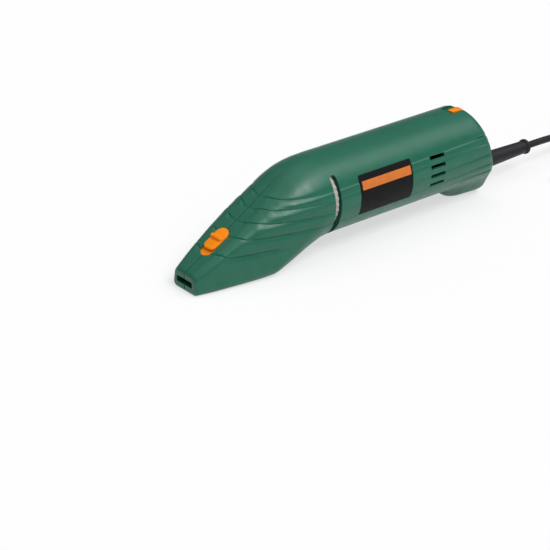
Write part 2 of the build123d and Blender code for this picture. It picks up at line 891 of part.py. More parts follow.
def spring(start, way, side_way, length, radius, wire, turns):
    """Wound wire along a straight axis, each half turn made of two arcs."""
    start, way, side_way = Vector(*start), Vector(*way), Vector(*side_way)
    third = way.cross(side_way)
    rise = length / turns
    marks = []
    for step in range(2 * turns + 1):
        turn = pi * step
        out = side_way * cos(turn) + third * sin(turn)
        along = third * cos(turn) - side_way * sin(turn)
        place = start + way * (rise * step / 2) + out * radius
        steep = (along * (2 * pi * radius) + way * rise).normalized()
        marks.append((place, steep))
    with BuildPart() as wound:
        with BuildLine() as path:
            for (place, heading), (after, after_heading) in zip(marks, marks[1:]):
                middle, middle_way = biarc(place, heading, after, after_heading)
                TangentArc(place, middle, tangent=heading)
                TangentArc(middle, after, tangent=middle_way)
        with BuildSketch(Plane(origin=marks[0][0], z_dir=marks[0][1])):
            Circle(wire)
        sweep()
    return wound


spring_base = brush_start + brush_length + brush_spring_wire + fit
spring_end = holder_end - holder_cap - brush_spring_wire - fit
with BuildPart() as brush_springs:
    for side in (1, -1):
        add(
            spring(
                (brush_x, 0, axis_height + side * spring_base),
                (0, 0, side),
                (1, 0, 0),
                spring_end - spring_base,
                brush_spring_radius,
                brush_spring_wire,
                spring_turns,
            ).part
        )
save(brush_springs, "brush_springs")

# Cam shaft, its bushes, gear and cam
cam_shaft_front = nose_web_x - slide_gap
cam_shaft_rear = gear_plate_x + gear_plate_thickness - seat_gap
with BuildPart() as cam_shaft:
    with BuildSketch(Plane.YZ.offset(cam_shaft_front)):
        with Locations((0, cam_axis_z)):
            Circle(cam_shaft_radius)
    extrude(amount=cam_shaft_rear - cam_shaft_front)
save(cam_shaft, "cam_shaft")


def bush(x, length):
    with BuildPart() as ring:
        with BuildSketch(Plane.YZ.offset(x)):
            with Locations((0, cam_axis_z)):
                Circle(bush_radius - fit)
                Circle(cam_shaft_radius + fit, mode=Mode.SUBTRACT)
        extrude(amount=length)
    return ring


save(bush(gear_plate_x, gear_plate_thickness), "rear_bush")
save(bush(nose_web_x, nose_web_thickness), "front_bush")

with BuildPart() as cam_gear:
    tooth_step = 360 / cam_gear_teeth
    cam_phase = pinion_phase + 180 + tooth_step / 2
    extrude(gear_face(gear_x, cam_axis_z, cam_gear_teeth, cam_phase), amount=gear_width)
    with BuildSketch(Plane.YZ.offset(gear_x)):
        with Locations((0, cam_axis_z)):
            Circle(cam_shaft_radius + fit)
    extrude(amount=gear_width, mode=Mode.SUBTRACT)
save(cam_gear, "cam_gear")

with BuildPart() as strike_cam:
    with BuildSketch(Plane.YZ.offset(cam_x)):
        with Locations((0, cam_axis_z)):
            Circle(cam_radius)
            Circle(cam_shaft_radius + fit, mode=Mode.SUBTRACT)
    extrude(amount=cam_width)
    for turn in (0, 180):
        lobe = sector(
            cam_x - cam_lobe_height,
            cam_lobe_inner,
            cam_radius,
            turn - cam_lobe_half_angle,
            turn + cam_lobe_half_angle,
        )
        extrude(lobe.moved(Location((0, 0, cam_axis_z - axis_height))), amount=cam_lobe_height)
save(strike_cam, "strike_cam")

# Ram: a striker bar under an upright that the cam pushes forward
ram_floor = slot_z - ram_thickness / 2
with BuildPart() as ram:
    with BuildSketch(Plane.YZ.offset(ram_front_x)):
        with Locations((0, slot_z)):
            Rectangle(2 * ram_half_width, ram_thickness)
    extrude(amount=ram_rear_x - ram_front_x)
    with BuildSketch(Plane.YZ.offset(ram_rear_x)):
        with Locations((0, (ram_floor + ram_height) / 2)):
            Rectangle(2 * ram_half_width, ram_height - ram_floor)
        with Locations((0, cam_axis_z)):
            Circle(cam_shaft_radius + 3 * slide_gap, mode=Mode.SUBTRACT)
    extrude(amount=-ram_upright)
save(ram, "ram")

block_width = 2 * (ram_half_width + slide_gap + ram_block_wall)
block_floor = wall + seat_gap
block_top = slot_z + ram_thickness / 2 + slide_gap + guide_wall_top
with BuildPart() as ram_guide:
    with BuildSketch(Plane.YZ.offset(ram_block_x)):
        with Locations((0, (block_floor + block_top) / 2)):
            Rectangle(block_width, block_top - block_floor)
        with Locations((0, slot_z)):
            Rectangle(
                2 * (ram_half_width + slide_gap), ram_thickness + 2 * slide_gap, mode=Mode.SUBTRACT
            )
    extrude(amount=ram_block_length)
save(ram_guide, "ram_guide")

ram_spring_length = spring_rib_x - ram_rear_x - 2 * ram_spring_wire - 2 * seat_gap
save(
    spring(
        (ram_rear_x + ram_spring_wire + seat_gap, 0, ram_spring_z),
        (1, 0, 0),
        (0, 1, 0),
        ram_spring_length,
        ram_spring_radius,
        ram_spring_wire,
        spring_turns,
    ),
    "ram_spring",
)

guide_half_width = slot_width / 2 + guide_wall_side
guide_floor = slot_z - slot_height / 2 - guide_wall_floor
guide_top = slot_z + slot_height / 2 + guide_wall_top
guide_x = cavity_x + slide_gap
with BuildPart() as blade_guide:
    with BuildSketch(Plane.YZ.offset(guide_x)):
        with Locations((0, (guide_floor + guide_top) / 2)):
            RectangleRounded(2 * guide_half_width, guide_top - guide_floor, guide_wall_side)
        with Locations((0, slot_z)):
            Rectangle(slot_width, slot_height, mode=Mode.SUBTRACT)
    extrude(amount=guide_end_x - guide_x)
    with BuildSketch(Plane.XY.offset(slot_z)):
        with Locations((lock_x, 0)):
            Circle(lock_pin_radius + 2 * fit)
    extrude(amount=barrel_radius, mode=Mode.SUBTRACT)
save(blade_guide, "blade_guide")

# Blade lock
pin_bottom = slot_z + slot_height / 2 + slide_gap
with BuildPart() as lock_pin:
    with BuildSketch(Plane.XY.offset(pin_bottom)):
        with Locations((lock_x, 0)):
            Circle(lock_pin_radius)
    extrude(amount=lock_head_z - pin_bottom)
    with BuildSketch(Plane.XY.offset(lock_head_z)):
        with Locations((lock_x, 0)):
            Circle(lock_head_radius)
    extrude(amount=lock_head_height)
save(lock_pin, "lock_pin")

button_width = opening_width - 2 * slide_gap
button_place = (opening_length - button_length) / 2 - slide_gap
plate_reach = opening_length / 2 + slide_plate_margin
slide_plane = slider_plane.offset(-roof - slide_gap)


def slide_line(x):
    """Height of the middle of the slide's plate at a place along X."""
    drop = (roof + slide_gap + slide_plate / 2) / cos(slope)
    return nose_top(slider_x) + (x - slider_x) * tan(slope) - drop


slope_axis = Axis((0, 0, 0), slider_plane.z_dir)
with BuildPart() as release_slider:
    with BuildSketch(slide_plane):
        with Locations((lock_travel / 2, 0)):
            RectangleRounded(2 * plate_reach + lock_travel, slide_plate_width, slide_plate_corner)
    extrude(amount=-slide_plate)
    with BuildSketch(slide_plane):
        with Locations((button_place, 0)):
            SlotOverall(button_length, button_width)
    extrude(amount=roof + slide_gap + button_height)
    fillet(release_slider.faces().sort_by(slope_axis)[-1].edges(), button_rounding)
    with BuildSketch(slider_plane.offset(button_height - ridge_root)):
        with Locations((ridge_place, 0)):
            RectangleRounded(ridge_thickness, ridge_width, ridge_corner)
    extrude(amount=ridge_height + ridge_root)
    fillet(release_slider.faces().sort_by(slope_axis)[-1].edges(), ridge_rounding)
    with BuildSketch(Plane.XZ):
        with BuildLine():
            Polyline(
                (lock_x - fork_front, fork_bottom),
                (lock_x + fork_rear, fork_bottom),
                (lock_x + fork_rear, slide_line(lock_x + fork_rear)),
                (lock_x - fork_front, slide_line(lock_x - fork_front)),
                close=True,
            )
        make_face()
    extrude(amount=fork_half_width, both=True)
    with BuildSketch(Plane.YZ.offset(lock_x - 2 * fork_front)):
        with Locations((0, lock_head_z + lock_head_height / 2)):
            Rectangle(2 * (lock_head_radius + slide_gap), lock_head_height + 2 * slide_gap)
        with Locations((0, lock_head_z / 2)):
            Rectangle(2 * (lock_pin_radius + slide_gap), lock_head_z)
    extrude(amount=2 * (fork_front + fork_rear), mode=Mode.SUBTRACT)
save(release_slider, "release_slider")

# Power switch
switch_floor = recess_floor + slide_gap
body_top = pad_bottom - seat_gap
with BuildPart() as switch_slider:
    with BuildSketch(Plane.XY.offset(switch_floor)):
        with Locations((switch_x + switch_length / 2, 0)):
            RectangleRounded(switch_length, 2 * switch_half_width, switch_corner)
    extrude(amount=switch_height)
    with BuildSketch(Plane.XY.offset(switch_floor + switch_height)):
        with Locations((switch_x + switch_length / 2, 0)):
            with GridLocations(switch_length / (switch_ribs + 1), 0, switch_ribs, 1):
                Rectangle(switch_rib_width, 2 * switch_half_width)
    extrude(amount=-switch_rib_depth, mode=Mode.SUBTRACT)
    with BuildSketch(Plane.XY.offset(switch_floor)):
        with Locations((stem_x + stem_length / 2, 0)):
            Rectangle(stem_length, 2 * stem_half_width)
    extrude(amount=body_top - stem_depth - switch_floor)
save(switch_slider, "switch_slider")

with BuildPart() as switch_body:
    with BuildSketch(Plane.XY.offset(body_top)):
        with Locations((switch_body_x + switch_body_length / 2, 0)):
            Rectangle(switch_body_length, 2 * switch_body_half_width)
    extrude(amount=-switch_body_height)
    with BuildSketch(Plane.XY.offset(body_top)):
        with Locations((stem_slot_x + stem_slot_length / 2, 0)):
            Rectangle(stem_slot_length, 2 * (stem_half_width + slide_gap))
    extrude(amount=-stem_depth - slide_gap, mode=Mode.SUBTRACT)
save(switch_body, "switch_body")

# Control board with its parts
board_half = sqrt(bore_radius**2 - (axis_height - board_z) ** 2) - slide_gap
board_top = board_z + board_thickness
with BuildPart() as control_board:
    with BuildSketch(Plane.XY.offset(board_z)):
        with Locations((board_x + board_length / 2, 0)):
            Rectangle(board_length, 2 * board_half)
    extrude(amount=board_thickness)
save(control_board, "control_board")

choke_y = 1.5 * choke_radius
capacitor_y = choke_y + choke_radius + seat_gap + capacitor_width / 2
with BuildPart() as noise_capacitor:
    with BuildSketch(Plane.XY.offset(board_top)):
        with Locations((board_x + board_length / 2, -capacitor_y)):
            Rectangle(capacitor_length, capacitor_width)
    extrude(amount=capacitor_height)
save(noise_capacitor, "noise_capacitor")

with BuildPart() as speed_regulator:
    with BuildSketch(Plane.XY.offset(board_top)):
        with Locations((board_x + board_length / 2, capacitor_y)):
            Rectangle(sink_length, sink_thickness)
            with Locations((0, -sink_thickness)):
                Rectangle(regulator_length, regulator_depth)
    extrude(amount=sink_height)
save(speed_regulator, "speed_regulator")

with BuildPart() as chokes:
    with BuildSketch(Plane.XY.offset(board_top)):
        with Locations((board_x + board_length - 2 * choke_radius, 0)):
            with GridLocations(0, 2 * choke_y, 1, 2):
                Circle(choke_radius)
    extrude(amount=choke_length)
save(chokes, "chokes")

# Lead: clamp, strain relief and the stretch inside the housing
clamp_floor = lead_z + lead_radius + seat_gap
with BuildPart() as cord_clamp:
    with BuildSketch(Plane.XY.offset(clamp_floor)):
        with Locations((clamp_x + clamp_length / 2, 0)):
            RectangleRounded(clamp_length, 2 * clamp_half_width, clamp_corner)
            with GridLocations(0, 2 * clamp_screw_y, 1, 2):
                Circle(screw_radius + fit, mode=Mode.SUBTRACT)
    extrude(amount=clamp_thickness)
save(cord_clamp, "cord_clamp")

clamp_top = clamp_floor + clamp_thickness
with BuildPart() as cord_clamp_screws:
    with BuildSketch(Plane.XY.offset(clamp_top)):
        with Locations((clamp_x + clamp_length / 2, 0)):
            with GridLocations(0, 2 * clamp_screw_y, 1, 2):
                Circle(screw_head_radius)
    extrude(amount=screw_head_height)
    with BuildSketch(Plane.XY.offset(clamp_top)):
        with Locations((clamp_x + clamp_length / 2, 0)):
            with GridLocations(0, 2 * clamp_screw_y, 1, 2):
                Circle(screw_radius)
    extrude(amount=saddle_top - screw_depth + seat_gap - clamp_top)
save(cord_clamp_screws, "cord_clamp_screws")

wall_inner_x = rear_x + (axis_height - lead_z - relief_collar_radius) * tan(lean) - wall / cos(lean)
collar_x = wall_inner_x - slide_gap - relief_collar
sleeve_x = rear_x + (axis_height - lead_z) * tan(lean)
lead_axis = Axis((0, 0, lead_z), (1, 0, 0))
with BuildPart() as strain_relief:
    with BuildSketch(Plane.XZ):
        with BuildLine():
            Polyline(
                (collar_x, lead_z + lead_radius + fit),
                (collar_x, lead_z + relief_collar_radius),
                (collar_x + relief_collar, lead_z + relief_collar_radius),
                (collar_x + relief_collar, lead_z + relief_radius),
                (sleeve_x, lead_z + relief_radius),
                (relief_end_x - relief_lip, lead_z + relief_end_radius),
                (relief_end_x - relief_lip, lead_z + relief_radius),
                (relief_end_x, lead_z + relief_radius),
                (relief_end_x, lead_z + lead_radius + fit),
                close=True,
            )
        make_face()
    revolve(axis=lead_axis)
save(strain_relief, "strain_relief")

with BuildPart() as cord_tail:
    with BuildSketch(Plane.YZ.offset(lead_start_x)):
        with Locations((0, lead_z)):
            Circle(lead_radius)
    extrude(amount=relief_end_x - lead_start_x)
save(cord_tail, "cord_tail")


def tube(points, name):
    """Lead laid along straight runs with large tangent arcs."""
    corners = [Vector(*point) for point in points]
    runs = [after - before for before, after in zip(corners, corners[1:])]
    radii = []
    for run, after in zip(runs, runs[1:]):
        half_turn = radians(run.get_angle(after)) / 2
        radii.append(bend_share * min(run.length, after.length) / tan(half_turn))
    with BuildPart() as laid:
        with BuildLine() as path:
            FilletPolyline(*corners, radius=radii)
        with BuildSketch(Plane(origin=corners[0], z_dir=runs[0].normalized())):
            Circle(lead_radius)
        sweep()
    length = path.wire().length
    share = laid.part.volume / (pi * lead_radius**2 * length)
    print(name, "radii", [round(radius, 1) for radius in radii])
    print(name, "length", round(length, 1), "volume share", round(share, 4))
    return laid


save(tube(lead_route, "power_cord"), "power_cord")

# Put-away coil: layers that spiral in and out, climbing in the half turns between them
coil_outer_line = coil_inner_radius_line + coil_turns * coil_pitch
coil_y = lead_route[-1][1] - coil_outer_line
coil_start = Vector(*lead_route[-1])
radius_now = coil_outer_line
height_now = lead_route[-1][2]
turns_out = [(radius_now, height_now)]
for layer in range(coil_layers):
    step = coil_pitch / 2 if layer % 2 else -coil_pitch / 2
    for half_turn in range(2 * coil_turns):
        radius_now += step
        turns_out.append((radius_now, height_now))
    if layer < coil_layers - 1:
        height_now += coil_rise
        turns_out.append((radius_now, height_now))

coil_marks = []
for index, (radius, height) in enumerate(turns_out):
    side = 1 if index % 2 == 0 else -1
    coil_marks.append((Vector(coil_x, coil_y + side * radius, height), Vector(side, 0, 0)))

coil_end = coil_marks[-1][0] + coil_marks[-1][1] * (2 * lead_radius)
with BuildPart() as cord_coil:
    with BuildLine() as coil_path:
        Line(coil_start, coil_marks[0][0])
        for (place, heading), (after, after_heading) in zip(coil_marks, coil_marks[1:]):
            middle, middle_way = biarc(place, heading, after, after_heading)
            TangentArc(place, middle, tangent=heading)
            TangentArc(middle, after, tangent=middle_way)
        Line(coil_marks[-1][0], coil_end)
    with BuildSketch(Plane(origin=coil_start, z_dir=coil_marks[0][1])):
        Circle(lead_radius)
    sweep()
save(cord_coil, "cord_coil")

coil_wire = coil_path.wire()
samples = int(coil_wire.length / sample_step)
near_skip = int(8 * lead_radius / sample_step) + 1
dots = [tuple(coil_wire.position_at(index / samples)) for index in range(samples + 1)]
least = min(
    dist(dot, other)
    for index, dot in enumerate(dots)
    for other in dots[index + near_skip :]
)
coil_share = cord_coil.part.volume / (pi * lead_radius**2 * coil_wire.length)
print("coil length", round(coil_wire.length, 1), "volume share", round(coil_share, 4))
print("coil least gap", round(least - 2 * lead_radius, 2))

coil_low = lead_route[-1][2] - lead_radius
coil_high = height_now + lead_radius
tie_inner = coil_inner_radius_line - lead_radius - tie_gap
tie_outer = coil_outer_line + lead_radius + tie_gap
with BuildPart() as cord_tie:
    with BuildSketch(Plane.XZ.offset(-coil_y - tie_width / 2)):
        with Locations((coil_x + (tie_inner + tie_outer) / 2, (coil_low + coil_high) / 2)):
            RectangleRounded(
                tie_outer - tie_inner + 2 * tie_thickness,
                coil_high - coil_low + 2 * (slide_gap + tie_thickness),
                lead_radius,
            )
            RectangleRounded(
                tie_outer - tie_inner,
                coil_high - coil_low + 2 * slide_gap,
                lead_radius - tie_thickness,
                mode=Mode.SUBTRACT,
            )
    extrude(amount=tie_width)
save(cord_tie, "cord_tie")

# End of the lead: down from the top of the coil to the plug on the floor
plug_z = plug_half_height + slide_gap / 3
tail_drop = coil_end.Z - plug_z
tail_slant = sqrt(tail_runs[1] ** 2 - tail_drop**2)
tail_route = [
    tuple(coil_end),
    (coil_end.X - tail_runs[0], coil_end.Y, coil_end.Z),
    (coil_end.X - tail_runs[0] - tail_slant, coil_end.Y, plug_z),
    (coil_end.X - tail_runs[0] - tail_slant - tail_runs[2], coil_end.Y, plug_z),
]
save(tube(tail_route, "cord_end"), "cord_end")

plug_x, plug_y = tail_route[-1][0], coil_end.Y
body_x = plug_x - plug_nose
with BuildPart() as plug_body:
    with BuildSketch(Plane.YZ.offset(plug_x)):
        with Locations((plug_y, plug_z)):
            Circle(lead_radius + plug_neck_wall)
    with BuildSketch(Plane.YZ.offset(body_x)):
        with Locations((plug_y, plug_z)):
            Circle(lead_radius + plug_root_wall)
    loft()
    with BuildSketch(Plane.YZ.offset(body_x + plug_overlap)):
        with Locations((plug_y, plug_z)):
            RectangleRounded(2 * plug_half_width, 2 * plug_half_height, plug_half_height - plug_flat)
    extrude(amount=-plug_length - plug_overlap)
    chamfer(plug_body.faces().sort_by(Axis.X)[0].edges(), plug_chamfer)
save(plug_body, "plug_body")

with BuildPart() as plug_pins:
    with BuildSketch(Plane.YZ.offset(body_x - plug_length)):
        with Locations((plug_y, plug_z)):
            with GridLocations(pin_spacing, 0, 2, 1):
                Circle(pin_radius)
    extrude(amount=-pin_length)
    fillet(plug_pins.faces().sort_by(Axis.X)[0:2].edges(), pin_rounding)
save(plug_pins, "plug_pins")

box = outer.part.bounding_box()
print("housing box", [round(value, 2) for value in (*box.min, *box.max)])
print("nose slope", round(degrees(slope), 2), "cam axis", round(cam_axis_z, 2))
print("whole floor", round(coil_x + tie_outer + tie_thickness - tip_x, 1), "x", round(plug_y, 1))
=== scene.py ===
import json
import math

import bmesh
import bpy
from mathutils import Matrix, Vector


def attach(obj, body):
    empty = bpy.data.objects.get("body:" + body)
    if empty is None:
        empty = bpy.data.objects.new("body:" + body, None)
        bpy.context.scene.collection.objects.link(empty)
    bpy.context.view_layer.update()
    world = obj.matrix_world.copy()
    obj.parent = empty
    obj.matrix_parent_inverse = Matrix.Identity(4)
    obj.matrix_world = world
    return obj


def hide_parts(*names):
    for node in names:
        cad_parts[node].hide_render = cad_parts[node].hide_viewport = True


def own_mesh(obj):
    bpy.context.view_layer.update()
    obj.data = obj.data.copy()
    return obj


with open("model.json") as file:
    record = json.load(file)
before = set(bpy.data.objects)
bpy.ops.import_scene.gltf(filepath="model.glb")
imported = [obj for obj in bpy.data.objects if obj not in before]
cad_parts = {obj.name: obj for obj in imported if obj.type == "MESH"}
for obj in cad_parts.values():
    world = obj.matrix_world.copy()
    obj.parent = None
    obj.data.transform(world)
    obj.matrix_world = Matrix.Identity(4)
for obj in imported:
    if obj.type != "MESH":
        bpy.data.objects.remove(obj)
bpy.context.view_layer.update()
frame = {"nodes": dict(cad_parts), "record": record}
nodes = frame["nodes"]
scene = bpy.context.scene
scene.view_settings.view_transform = "Standard"
mm = 0.001  # the part's sizes below are in millimetres
tiny = 1e-4  # what counts as the same place
print("frame:", len(nodes), "nodes")

cameraSet = {  # places in metres, lens and sensor in millimetres
    "place": (-0.81816, -0.932, 0.59563),
    "lookAt": (-0.02946, 0.03626, -0.03716),
    "lens": 120.76,
    "sensor": 36.0,
}
cameraData = bpy.data.cameras.new("camera")
cameraData.lens = cameraSet["lens"]
cameraData.sensor_width = cameraSet["sensor"]
camera = bpy.data.objects.new("camera", cameraData)
camera.location = cameraSet["place"]
gaze = Vector(cameraSet["lookAt"]) - Vector(cameraSet["place"])
camera.rotation_euler = gaze.to_track_quat("-Z", "Y").to_euler()
scene.collection.objects.link(camera)
scene.camera = camera
print("camera set")


def colourOf(code):  # hex to the linear colour that shaders take
    parts = [int(code[i:i + 2], 16) / 255 for i in (1, 3, 5)]
    linear = [p / 12.92 if p <= 0.04045 else ((p + 0.055) / 1.055) ** 2.4 for p in parts]
    return (*linear, 1.0)


def ease(low, high, value):
    share = min(1.0, max(0.0, (value - low) / (high - low)))
    return share * share * (3 - 2 * share)


def along(points, x):  # smooth line through points, with no overshoot
    if x <= points[0][0]:
        return points[0][1]
    if x >= points[-1][0]:
        return points[-1][1]
    last = len(points) - 1
    k = max(i for i in range(last) if points[i][0] <= x)

    def rise(i):
        return (points[i + 1][1] - points[i][1]) / (points[i + 1][0] - points[i][0])

    def slope(i):
        if i in (0, last):
            return rise(min(i, last - 1))
        before, after = rise(i - 1), rise(i)
        return 0.0 if before * after <= 0 else 2 * before * after / (before + after)

    step = points[k + 1][0] - points[k][0]
    t = (x - points[k][0]) / step
    return (
        points[k][1] * (1 + 2 * t) * (1 - t) ** 2
        + slope(k) * step * t * (1 - t) ** 2
        + points[k + 1][1] * t * t * (3 - 2 * t)
        - slope(k + 1) * step * t * t * (1 - t)
    )


def plainObject(name, bm):
    mesh = bpy.data.meshes.new(name)
    bm.to_mesh(mesh)
    bm.free()
    thing = bpy.data.objects.new(name, mesh)
    scene.collection.objects.link(thing)
    return thing


studio = {
    "skyLow": 0.22,
    "skyHigh": 0.32,
    "skyCurve": 1.5,
    "lamps": {  # power, spread in degrees and direction
        "key": (1.9, 28.0, (0.1, -0.58, 0.81)),
        "rear": (0.5, 30.0, (0.56, -0.25, 0.79)),
        "top": (0.6, 60.0, (-0.05, 0.2, 0.97)),
    },
    "floorColour": (0.905, 0.905, 0.908, 1.0),
    "floorWhite": 0.62,  # share of plain white in what is seen of the floor
    "floorRough": 0.9,
    "floorShine": 0.1,
    "floorSize": 40.0,
}
world = bpy.data.worlds.new("studio")
scene.world = world
world.use_nodes = True
sky = world.node_tree
skyWay = sky.nodes.new("ShaderNodeTexCoord")
skyParts = sky.nodes.new("ShaderNodeSeparateXYZ")
skyClimb = sky.nodes.new("ShaderNodeMapRange")
skyClimb.inputs["To Min"].default_value = studio["skyLow"]
skyClimb.inputs["To Max"].default_value = studio["skyHigh"]
sky.nodes["Background"].inputs["Color"].default_value = (1.0, 1.0, 1.0, 1.0)
sky.links.new(skyWay.outputs["Generated"], skyParts.inputs["Vector"])
skyBend = sky.nodes.new("ShaderNodeMath")
skyBend.operation = "POWER"
skyBend.use_clamp = True
skyBend.inputs[1].default_value = studio["skyCurve"]
sky.links.new(skyParts.outputs["Z"], skyBend.inputs[0])
sky.links.new(skyBend.outputs["Value"], skyClimb.inputs["Value"])
sky.links.new(skyClimb.outputs["Result"], sky.nodes["Background"].inputs["Strength"])

for lampName, (power, spread, source) in studio["lamps"].items():
    lampData = bpy.data.lights.new(lampName, "SUN")
    lampData.energy = power
    lampData.angle = math.radians(spread)
    lamp = bpy.data.objects.new(lampName, lampData)
    lamp.rotation_euler = Vector(source).to_track_quat("Z", "Y").to_euler()
    scene.collection.objects.link(lamp)

bm = bmesh.new()
bmesh.ops.create_grid(bm, x_segments=1, y_segments=1, size=studio["floorSize"] / 2)
floor = plainObject("floor", bm)
floorFinish = bpy.data.materials.new("floorPaper")
floorFinish.use_nodes = True
paper = floorFinish.node_tree
floorShader = paper.nodes["Principled BSDF"]
floorShader.inputs["Base Color"].default_value = studio["floorColour"]
floorShader.inputs["Roughness"].default_value = studio["floorRough"]
floorShader.inputs["Specular IOR Level"].default_value = studio["floorShine"]
white = paper.nodes.new("ShaderNodeEmission")
white.inputs["Strength"].default_value = 1.0
rays = paper.nodes.new("ShaderNodeLightPath")
seen = rays.outputs["Is Camera Ray"]
for kind in ("Is Glossy Ray", "Is Transmission Ray"):
    either = paper.nodes.new("ShaderNodeMath")
    either.operation = "MAXIMUM"
    paper.links.new(seen, either.inputs[0])
    paper.links.new(rays.outputs[kind], either.inputs[1])
    seen = either.outputs["Value"]
share = paper.nodes.new("ShaderNodeMath")
share.operation = "MULTIPLY"
share.inputs[1].default_value = studio["floorWhite"]
mixFloor = paper.nodes.new("ShaderNodeMixShader")
paper.links.new(seen, share.inputs[0])
paper.links.new(share.outputs["Value"], mixFloor.inputs["Fac"])
paper.links.new(floorShader.outputs["BSDF"], mixFloor.inputs[1])
paper.links.new(white.outputs["Emission"], mixFloor.inputs[2])
paper.links.new(mixFloor.outputs["Shader"], paper.nodes["Material Output"].inputs["Surface"])
floor.data.materials.append(floorFinish)
print("studio set")


# One look for each material slot of the part, and one for the plate's bar
# Patch and grain count noise cells per metre, and lines are a pitch in millimetres
looks = {
    "housing": {"colour": "#0c6049", "rough": 0.4, "mottle": 0.05, "patch": 90, "grain": 2600, "bump": 0.1},
    "control": {"colour": "#fd8e00", "rough": 0.4, "shine": 0.2, "mottle": 0.04, "patch": 160,
                "grain": 2400, "bump": 0.08},
    "dial": {"colour": "#a8a49c", "rough": 0.5, "mottle": 0.08, "patch": 300, "grain": 2400, "bump": 0.1},
    "plate": {"colour": "#141214", "rough": 0.55, "shine": 0.12, "mottle": 0.06, "patch": 120,
              "grain": 3200, "bump": 0.04},
    "bar": {"colour": "#cf7434", "rough": 0.5, "shine": 0.15, "mottle": 0.05, "patch": 140,
            "grain": 3200, "bump": 0.04},
    "dark_plastic": {"colour": "#2b2a2c", "rough": 0.45, "mottle": 0.1, "patch": 200,
                     "grain": 2200, "bump": 0.12},
    "lead": {"colour": "#252428", "rough": 0.5, "shine": 0.25, "mottle": 0.08, "patch": 150,
             "grain": 1800, "bump": 0.1},
    "steel": {"colour": "#b9babd", "rough": 0.3, "metal": 1.0, "mottle": 0.08, "patch": 400,
              "grain": 1500, "bump": 0.05, "stretch": (1.0, 9.0, 9.0)},
    "lamination": {"colour": "#6d6d70", "rough": 0.5, "metal": 1.0, "mottle": 0.1, "patch": 300,
                   "grain": 1800, "bump": 0.08, "lines": 0.6},
    "copper": {"colour": "#a85a2c", "rough": 0.32, "metal": 1.0, "mottle": 0.12, "patch": 350,
               "grain": 1600, "bump": 0.06, "lines": 0.9},
    "bronze": {"colour": "#a8844b", "rough": 0.42, "metal": 1.0, "mottle": 0.12, "patch": 700,
               "grain": 2600, "bump": 0.1},
    "alloy": {"colour": "#b4b4b6", "rough": 0.46, "metal": 1.0, "mottle": 0.08, "patch": 260,
              "grain": 1900, "bump": 0.12},
    "carbon": {"colour": "#262626", "rough": 0.6, "mottle": 0.15, "patch": 500,
               "grain": 2600, "bump": 0.12},
    "board": {"colour": "#2c5a36", "rough": 0.35, "mottle": 0.12, "patch": 320,
              "grain": 1500, "bump": 0.05},
    "nylon": {"colour": "#d9d5c8", "rough": 0.42, "mottle": 0.05, "patch": 220,
              "grain": 1900, "bump": 0.06},
}
surface = {  # what all looks share
    "shine": 0.5,  # where a look gives none
    "noiseRange": (0.3, 0.7),
    "patchDetail": 3.0,
    "fineDetail": 2.0,
    "roughPatch": 2.3,  # times as fine as the patches of colour
    "roughSwing": 0.05,
    "waveScale": 0.314,  # a wave's scale times its pitch
    "waveWarp": 0.3,
    "bumpHeight": 0.15,
}


def makeFinish(name, look):
    finish = bpy.data.materials.new(name)
    finish.use_nodes = True
    tree = finish.node_tree
    shader = tree.nodes["Principled BSDF"]
    shader.inputs["Metallic"].default_value = look.get("metal", 0.0)
    shader.inputs["Specular IOR Level"].default_value = look.get("shine", surface["shine"])
    where = tree.nodes.new("ShaderNodeTexCoord")
    spread = tree.nodes.new("ShaderNodeMapping")
    spread.inputs["Scale"].default_value = look.get("stretch", (1.0, 1.0, 1.0))
    tree.links.new(where.outputs["Object"], spread.inputs["Vector"])
    base = colourOf(look["colour"])

    def noise(scale, detail):
        node = tree.nodes.new("ShaderNodeTexNoise")
        node.inputs["Scale"].default_value = scale
        node.inputs["Detail"].default_value = detail
        tree.links.new(spread.outputs["Vector"], node.inputs["Vector"])
        return node.outputs["Fac"]

    def ranged(fac, low, high):
        node = tree.nodes.new("ShaderNodeMapRange")
        node.inputs["From Min"].default_value = surface["noiseRange"][0]
        node.inputs["From Max"].default_value = surface["noiseRange"][1]
        node.inputs["To Min"].default_value = low
        node.inputs["To Max"].default_value = high
        tree.links.new(fac, node.inputs["Value"])
        return node.outputs["Result"]

    patches = noise(look["patch"], surface["patchDetail"])
    tint = tree.nodes.new("ShaderNodeMix")
    tint.data_type = "RGBA"
    tint.inputs["A"].default_value = (*[c * (1 - look["mottle"]) for c in base[:3]], 1.0)
    tint.inputs["B"].default_value = (*[min(1.0, c * (1 + look["mottle"])) for c in base[:3]], 1.0)
    tree.links.new(ranged(patches, 0.0, 1.0), tint.inputs["Factor"])
    tree.links.new(tint.outputs["Result"], shader.inputs["Base Color"])
    fine = noise(look["patch"] * surface["roughPatch"], surface["fineDetail"])
    swing = surface["roughSwing"]
    tree.links.new(ranged(fine, look["rough"] - swing, look["rough"] + swing), shader.inputs["Roughness"])
    relief = noise(look["grain"], surface["fineDetail"])
    if "lines" in look:  # stacked sheets or wound wire
        wave = tree.nodes.new("ShaderNodeTexWave")
        wave.inputs["Scale"].default_value = surface["waveScale"] / (look["lines"] * mm)
        wave.inputs["Distortion"].default_value = surface["waveWarp"]
        tree.links.new(where.outputs["Object"], wave.inputs["Vector"])
        both = tree.nodes.new("ShaderNodeMath")
        both.operation = "ADD"
        tree.links.new(relief, both.inputs[0])
        tree.links.new(wave.outputs["Fac"], both.inputs[1])
        relief = both.outputs[0]
    bump = tree.nodes.new("ShaderNodeBump")
    bump.inputs["Strength"].default_value = look["bump"]
    bump.inputs["Distance"].default_value = surface["bumpHeight"] * mm
    tree.links.new(relief, bump.inputs["Height"])
    tree.links.new(bump.outputs["Normal"], shader.inputs["Normal"])
    return finish


